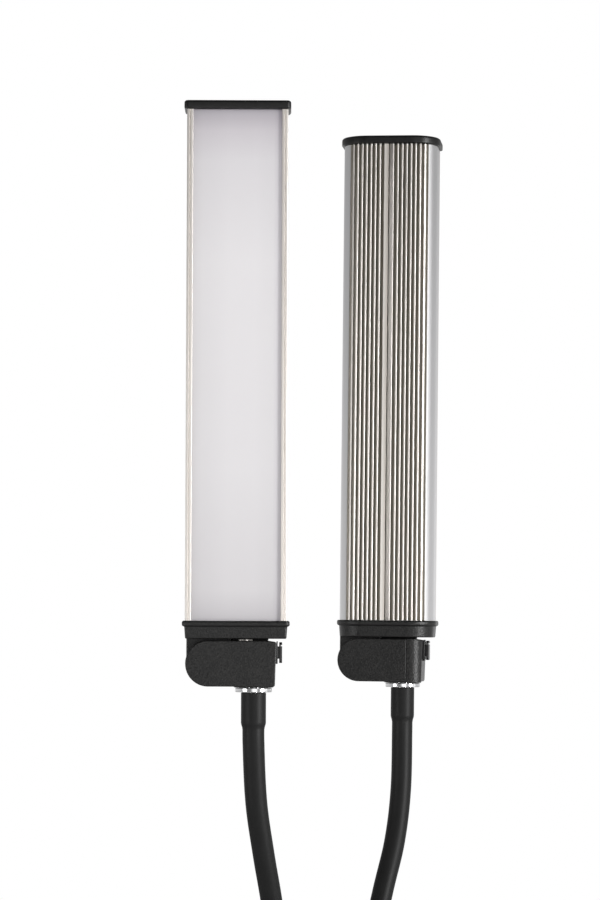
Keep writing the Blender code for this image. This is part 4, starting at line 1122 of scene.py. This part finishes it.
def neck_line(head):
    """Points along the neck, from inside its boot: smooth through its bends, straight at its end."""
    foot, up = FOOT[head.side], head.place.col[2].to_3d()
    top = head.place @ Vector((0, 0, NECK_END))
    points = [foot - Vector((0, 0, 14 * MM)), foot]
    points += [foot + Vector((x * MM, y * MM, share * RISE)) for share, x, y in BENDS[head.side]]
    points += [top - up * STRAIGHT_END, top]
    line = []
    for before, start, end, after in zip(points, points[1:], points[2:], points[3:]):
        for step in range(CURVE_STEPS):
            t = step / CURVE_STEPS
            bend = (end - before) * t + (2 * before - 5 * start + 4 * end - after) * t**2
            line.append(start + (bend + (3 * start - before - 3 * end + after) * t**3) / 2)
    return [foot - Vector((0, 0, BELOW_FOOT)), *line, points[-2], top]


# %% Length along a line
PLACE_REACH = 4 * MM


class Path:
    """A measured line: the point and the direction at any length along it."""

    def __init__(self, points):
        self.points = points
        self.reached = [0.0]
        for a, b in zip(points, points[1:]):
            self.reached.append(self.reached[-1] + (b - a).length)
        self.total = self.reached[-1]

    def at(self, length):
        """The point at a length along the line."""
        for i, reached in enumerate(self.reached[1:]):
            if length <= reached or i == len(self.points) - 2:
                share = (length - self.reached[i]) / (reached - self.reached[i])
                return self.points[i].lerp(self.points[i + 1], share)

    def place(self, length):
        """Axes on the line, Z along it and X close to the world's."""
        before, after = max(length - PLACE_REACH, 0), min(length + PLACE_REACH, self.total)
        ahead = (self.at(after) - self.at(before)).normalized()
        side = ahead.cross(Vector((1, 0, 0))).normalized()
        axes = Matrix((side.cross(ahead), side, ahead)).transposed().to_4x4()
        return Matrix.Translation(self.at(length)) @ axes


# %% Skin of the necks, length by length
SKIN_SIDES, SKIN_ROW = 40, 3 * MM
NECK_PARTS = ("hub", "neck_a", "neck_b", "neck_c", "neck_d")
BEND_ZONE = 27 * MM


def skin(path, start, end):
    """A closed tube along a stretch of the path."""
    count = max(2, round((end - start) / SKIN_ROW))
    rows = []
    for i in range(count + 1):
        place = path.place(start + (end - start) * i / count)
        rows.append([place @ point for point in ring(NECK_RADIUS, 0, SKIN_SIDES)])
    return tube(rows)


for head in heads:
    path = Path(neck_line(head))
    part = (path.total - BELOW_FOOT) / 4
    for number in range(4):
        bend = BELOW_FOOT + number * part
        low = 0.0 if number == 0 else bend - part / 2
        high = path.total if number == 3 else bend + part / 2
        name = f"{head.side}_neck_skin_{number + 1}"
        solid = f"{head.side}_neck_{number + 1}"
        piece = keep(name, skin(path, low, high), neck_rubber, None, "neck_rubber", [solid])
        bodies = [n if n == "hub" else f"{head.side}_{n}" for n in NECK_PARTS[number : number + 2]]
        start, end = path.at(max(bend - BEND_ZONE, BELOW_FOOT)), path.at(bend + BEND_ZONE)
        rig.blend(piece, *bodies, start, end)
    print(head.side, "neck is", round(path.total / MM), "mm long")

# %% [markdown]
# ## The neck's feet
# At the hub each neck stands in a rubber boot on a bright flange. The boot is
# turned like the sleeve at the other end, and rides on the hub.

# %% Flanges and boots on the hub
HUB_HIGH, ROOT_STUB_LOW = mm(62, 56.4)
ROOT_LOW, ROOT_TOP = HUB_HIGH + CLEAR, HUB_HIGH + CLEAR + 2.4 * MM

flange = [(0, ROOT_STUB_LOW), (STUB_RADIUS, ROOT_STUB_LOW), (STUB_RADIUS, ROOT_LOW)]
flange += [*flange_rim(ROOT_LOW, ROOT_TOP), (0, ROOT_TOP)]
boot = [(0, ROOT_TOP), (SLEEVE_RADIUS - CHAMFER, ROOT_TOP), (SLEEVE_RADIUS, ROOT_TOP + CHAMFER)]
boot += [(SLEEVE_RADIUS, 69 * MM), (SLEEVE_RADIUS - 0.25 * MM, 70.4 * MM)]
boot += [(NECK_RADIUS + 0.2 * MM, 72.6 * MM), (NECK_RADIUS + 0.05 * MM, 73.6 * MM), (0, 73.6 * MM)]

for side, foot in FOOT.items():
    spot = Matrix.Translation((foot.x, foot.y, 0))
    solid = [f"{side}_neck_root"]
    keep(f"{side}_root_flange", turn(flange, 64, spot), chrome, "hub", "fitting_chrome", solid)
    keep(f"{side}_root_boot", turn(boot, 48, spot), neck_rubber, "hub", "neck_rubber", solid)

# %% [markdown]
# ## The hub
# The two arms meet in a small black housing of two shells. Its plan is a stadium.
# The lower shell's edge and the upper shell's edge are both eased, so the seam
# between them reads as a fine dark line.

# %% Lower shell of the hub
HUB_LENGTH, HUB_DEPTH, HUB_WALL = mm(84, 40, 2.4)
HUB_LOW, HUB_SPLIT, HUB_SCREW = mm(30, 52, 34.8)
UNDER_HUB, HUB_FLOOR = HUB_LOW - BEYOND, HUB_LOW + 3 * MM


def stadium(inset):
    """Plan of the hub: straight sides with half-round ends."""
    radius, middle = HUB_DEPTH / 2 - inset, (HUB_LENGTH - HUB_DEPTH) / 2
    return [*arc(middle, 0, radius, -90, 90, 32), *arc(-middle, 0, radius, 90, 270, 32)]


def world_plan(x, y, height):
    """A point in the world's own axes."""
    return Vector((x, y, height))


inside = stadium(HUB_WALL)
lower = slab(stadium(0), HUB_LOW, HUB_SPLIT, 1.2 * MM, 0.4 * MM, world_plan)
room = stack([(inside, HUB_LOW + HUB_WALL), (inside, HUB_SPLIT + BEYOND)], world_plan)
socket_hole = round_bar(15.3 * MM, UNDER_HUB, HUB_FLOOR, sides=64)
to_back = Matrix.Translation((0, 0, 46.5 * MM)) @ Matrix.Rotation(-math.pi / 2, 4, "X")
jack_hole = round_bar(4.3 * MM, 0, HUB_DEPTH, to_back)
hub_screws = [(side * HUB_SCREW, 0, 0) for side in (-1, 1)]
sink = steps(UNDER_HUB, (HOLE_WIDE, HUB_LOW + SCREW_HEAD_THICK + CLEAR), (HOLE_SLIM, HUB_FLOOR))
lower = carve(lower, [room, socket_hole, jack_hole, turn_at(sink, 24, hub_screws)])
keep("hub_lower_shell", lower, black_plastic, "hub", "black_plastic", ["hub_bottom"])

# %% Upper shell of the hub
upper = slab(stadium(0), HUB_SPLIT + CLEAR, HUB_HIGH, 0.4 * MM, 2 * MM, world_plan)
hollow = stack([(inside, HUB_SPLIT - BEYOND), (inside, HUB_HIGH - HUB_WALL)], world_plan)
spots = [Matrix.Translation((foot.x, foot.y, 0)) for foot in FOOT.values()]
stubs = [round_bar(STUB_HOLE, 50 * MM, HUB_HIGH + BEYOND, spot) for spot in spots]
upper = carve(upper, [hollow, *stubs])
keep("hub_upper_shell", upper, black_plastic, "hub", "black_plastic", ["hub_top"])

# %% [markdown]
# ## Stand socket and clamp screw
# Under the hub a turned steel socket drops onto a light stand's stud. A lobed
# knob on a threaded stud clamps it. The thread is cut as a row of close rings: at
# this size they read as a thread, and they keep the mesh simple.

# %% Socket
SOCKET_RADIUS, SOCKET_TOP = mm(15, 34)
BORE_RADIUS, BORE_TOP, BORE_CHAMFER = mm(8.15, 33.3, 0.4)

socket = [(0, 0), (14.4 * MM, 0), (SOCKET_RADIUS, 0.6 * MM), (SOCKET_RADIUS, SOCKET_TOP), (0, SOCKET_TOP)]
plate = slab(stadium(HUB_WALL + 1.5 * MM), 32.7 * MM, 35.3 * MM, 0.2 * MM, 0.2 * MM, world_plan)
barrel = carve(turn(socket, 64), [plate], "UNION")
to_front = Matrix.Translation((0, 0, 14 * MM)) @ Matrix.Rotation(math.pi / 2, 4, "X")
cross = round_bar(BOLT_HOLE, 0, HUB_DEPTH, to_front)
through = turn_at(steps(30 * MM, (HOLE_SLIM, 36 * MM)), 24, hub_screws)
mouth = 8.55 * MM
bore = [(0, -BEYOND), (mouth, -BEYOND), (mouth, 0), (BORE_RADIUS, BORE_CHAMFER)]
bore += [(BORE_RADIUS, BORE_TOP), (0, BORE_TOP)]
barrel = carve(barrel, [cross, through, turn(bore, 64)])
keep("stand_socket_fine", barrel, steel, "hub", "steel", ["stand_socket"])

# %% Clamp stud
CREST, ROOT, PITCH, RINGS = 3 * MM, 2.6 * MM, 1 * MM, 9
STUD_TIP, THREAD_START, STUD_END = mm(8.45, 9.4, 28)

thread = [(0, STUD_TIP), (2.3 * MM, STUD_TIP), (CREST, 9.1 * MM)]
for number in range(RINGS):
    low = THREAD_START + number * PITCH
    thread += [(CREST, low), (ROOT, low + PITCH * 0.35), (CREST, low + PITCH * 0.7)]
thread += [(CREST, STUD_END), (0, STUD_END)]
keep("clamp_stud_fine", turn(thread, 32, to_front), steel, "clamp_screw", "steel", ["clamp_stud"])

# %% Clamp knob
KNOB_NEAR, KNOB_THICK = mm(19, 13)
KNOB_RADIUS, KNOB_SIDES, LOBE, LOBES = 11.5 * MM, 96, 1.1 * MM, 6

knob_outline = []
for i in range(KNOB_SIDES):
    angle = 2 * math.pi * i / KNOB_SIDES
    radius = KNOB_RADIUS + LOBE * math.cos(LOBES * angle)
    knob_outline.append(Vector((radius * math.cos(angle), radius * math.sin(angle))))


def knob_place(x, z, along):
    """A point of the knob, which faces forward at the clamp's height."""
    return Vector((x, -along, 14 * MM + z))


knob = slab(knob_outline, KNOB_NEAR, KNOB_NEAR + KNOB_THICK, 1 * MM, 1.6 * MM, knob_place)
knob = carve(knob, [round_bar(BOLT_HOLE, 18 * MM, 28.4 * MM, to_front)])
keep("clamp_knob_fine", knob, black_plastic, "clamp_grip", "black_plastic", ["clamp_knob"])

# %% [markdown]
# ## Inlet and screws
# The inlet is a turned barrel with a pin. The pan-head screws are turned too, and
# a cross is cut into their heads.

# %% Power inlet
inlet = [(0, 7.3), (4, 7.3), (4, 20.1), (3.8, 20.3), (2.95, 20.3), (2.75, 20.1), (2.75, 9.7)]
inlet += [(1.05, 9.7), (1.05, 17.5), (0.7, 17.9), (0, 17.9)]
barrel = turn([mm(*point) for point in inlet], 40, to_back)
keep("power_inlet_fine", barrel, switch_plastic, "hub", "switch_plastic", ["power_inlet"])

# %% Pan-head screws
DOME = [(1, 0), (1, 0.35), (0.93, 0.65), (0.75, 0.88), (0.45, 1), (0, 1)]
CROSS_HALF, CROSS_REACH, CROSS_DEEP = mm(0.3, 1.4, 0.9)


def pan_head(length):
    """A screw with its head up from height 0 and a cross cut into it."""
    top = SCREW_HEAD_THICK
    profile = [(0, -length), (SCREW_SHANK * 0.4, -length), (SCREW_SHANK, -length + SCREW_SHANK)]
    profile += [(SCREW_SHANK, 0), *[(SCREW_HEAD * wide, top * high) for wide, high in DOME]]
    arms = []
    for wide, deep in ((CROSS_HALF, CROSS_REACH), (CROSS_REACH, CROSS_HALF)):
        arms.append(box_between((-wide, -deep, top - CROSS_DEEP), (wide, deep, top + BEYOND), world_plan))
    return carve(turn(profile, 32), arms)


def put_screw(solid, length, spot, heads_up, body):
    """One screw at a point; a screw with its head down is turned over."""
    place = spot if heads_up else spot @ Matrix.Rotation(math.pi, 4, "X")
    keep(f"{solid}_fine", pan_head(length), steel, body, "steel", [solid], place)


for head in heads:
    for number, across in enumerate(PORTS, start=1):
        for cap, height, length, up in (
            ("top", CAP_SEAT + CLEAR, 10.3 * MM, True),
            ("bottom", SKIRT_LOW + SCREW_HEAD_THICK, 15.6 * MM, False),
        ):
            spot = head.place @ Matrix.Translation(head.bar_plan(across, PORT_DEPTH, height))
            put_screw(f"{head.side}_{cap}_cap_screw_{number}", length, spot, up, f"{head.side}_bar")

for number, side in enumerate((-1, 1), start=1):
    spot = Matrix.Translation((side * HUB_SCREW, 0, HUB_LOW + SCREW_HEAD_THICK))
    put_screw(f"hub_screw_{number}", 9.5 * MM, spot, False, "hub")

# %% [markdown]
# ## Pieces that keep their solid
# The inner pieces have the right shape already. They only take a better finish.

# %% Finish the inner solids
plain = {"led_board": led_board, "driver_board": driver_board, "pivot_washer": brass}
for name, solid in frame["nodes"].items():
    if solid.hide_render:
        continue
    look = next((look for word, look in plain.items() if word in name), steel)
    solid.data.materials.clear()
    solid.data.materials.append(look)
    print("kept solid:", name, "in", look.name)

# %% [markdown]
# ## Studio
# The lamp stands on a pale disc. The floor is a shade lighter for the camera than
# its own light makes it, so it melts into the white backdrop and still shows the
# lamp's shadow.

# %% Floor
FLOOR_RADIUS, FLOOR_LOW, FLOOR_HIGH = 2.2, -0.0205, -0.0005

disc = arc(0, 0, FLOOR_RADIUS, 0, 356.25, 95)
floor = solid_of("floor", stack([(disc, FLOOR_LOW), (disc, FLOOR_HIGH)], world_plan))
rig.stage(floor)

pale = {"Base Color": grey(0.86), "Roughness": 0.9, "Specular IOR Level": 0.1, "Emission Strength": 1}
floor_look = Finish("pale floor", pale)
seen = floor_look.node("ShaderNodeLightPath", out="Is Camera Ray")
floor_look.feed(floor_look.shader["Emission Color"], floor_look.between(seen, grey(0.0), grey(0.25)))
floor.data.materials.append(floor_look.material)
print("floor:", FLOOR_RADIUS * 2, "m across")

# %% [markdown]
# The camera sees a plain white sky. What lights the lamp and mirrors in its metal is
# a soft grey room instead: bright in one spot straight ahead of the lamp, lighter
# behind the lamp than before it, and dim overhead.

# %% World
LAMP_SIDE = math.radians(7)

world = bpy.data.worlds.new("studio")
bpy.context.scene.world = world
world.use_nodes = True
sky = Look(world.node_tree)
direction = sky.node("ShaderNodeTexCoord", out="Generated")
rightward, backward, upward = [sky.part(direction, number) for number in range(3)]


def wall(towards, stops):
    """A soft grey pattern: how light the room is, by how far it lies towards a side."""
    shades = [(place, grey(shade)) for place, shade in stops]
    return sky.part(sky.ramp(towards * 0.5 + 0.5, shades), 0)


ahead = rightward * math.sin(LAMP_SIDE) - backward * math.cos(LAMP_SIDE)
front = wall(ahead, [(0.94, 0.0), (0.97, 0.12), (0.985, 0.9), (1.0, 1.6)])
sides = wall(backward, [(0.0, 0.2), (0.25, 0.25), (0.5, 0.55), (0.93, 0.68), (1.0, 1.0)])
fade = sky.maths("MINIMUM", sky.maths("MAXIMUM", upward) * 3, 0.7)
room_light = (front + sides) * (1 - fade)
camera_ray = sky.node("ShaderNodeLightPath", out="Is Camera Ray")
shown = sky.between(camera_ray, room_light, (1, 1, 1, 1))
sky.feed(world.node_tree.nodes["Background"].inputs["Color"], shown)
print("world:", world.name)

# %% [markdown]
# The main light is a tall, narrow softbox at the right, which draws the bright lines
# on the metal and the plastic. A weaker one at the left and a faint one at the right
# side answer it. A broad fill above the camera lightens the shadows, and reflections
# leave it out, so it puts no sheen on the black pieces.

# %% Softboxes
AIM = (0, 0, 0.45)


def softbox(name, place, width, height, power):
    """An area light that shines from its place towards the lamp's middle."""
    light = bpy.data.lights.new(name, "AREA")
    light.shape = "RECTANGLE"
    light.size, light.size_y = width, height
    light.energy = power
    lamp = link(name, light)
    lamp.location = place
    lamp.rotation_euler = (Vector(AIM) - Vector(place)).to_track_quat("-Z", "Y").to_euler()
    lamp.visible_camera = False
    print(name, "with", power, "W")
    return lamp


softbox("right softbox", (1.82, -1.25, 0.6), 0.55, 1.0, 27)
softbox("side softbox", (2.19, -0.19, 0.6), 0.6, 1.0, 1.2)
softbox("left softbox", (-1.64, -1.15, 0.4), 0.8, 0.8, 6)
fill = softbox("fill light", (0, -2.3, 1.6), 2.0, 1.6, 20)
fill.visible_glossy = False

# %% [markdown]
# The camera stands almost two metres away with a long lens, and looks up a little.
# These values put the lamp's corners where the picture has them.

# %% Camera
camera_data = bpy.data.cameras.new("camera")
camera_data.sensor_fit = "VERTICAL"
camera_data.sensor_height = 36
camera_data.lens = 120.18
camera = link("camera", camera_data)
camera.location = (-0.0223, -1.831, 0.4384)
camera.rotation_euler = [math.radians(angle) for angle in (93.26, 0.134, -0.368)]
bpy.context.scene.camera = camera
bpy.context.scene.view_settings.view_transform = "Standard"

# %% [markdown]
# ## Measure and finish
# At the end the box of all pieces is measured again, and both boxes are written
# down, so that they can be compared.

# %% Measure and finish
finished_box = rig.bounds()
with open("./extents.json", "w") as file:
    json.dump([[list(corner) for corner in box] for box in (solid_box, finished_box)], file)
print("finished:", len(pieces), "pieces in", finished_box)
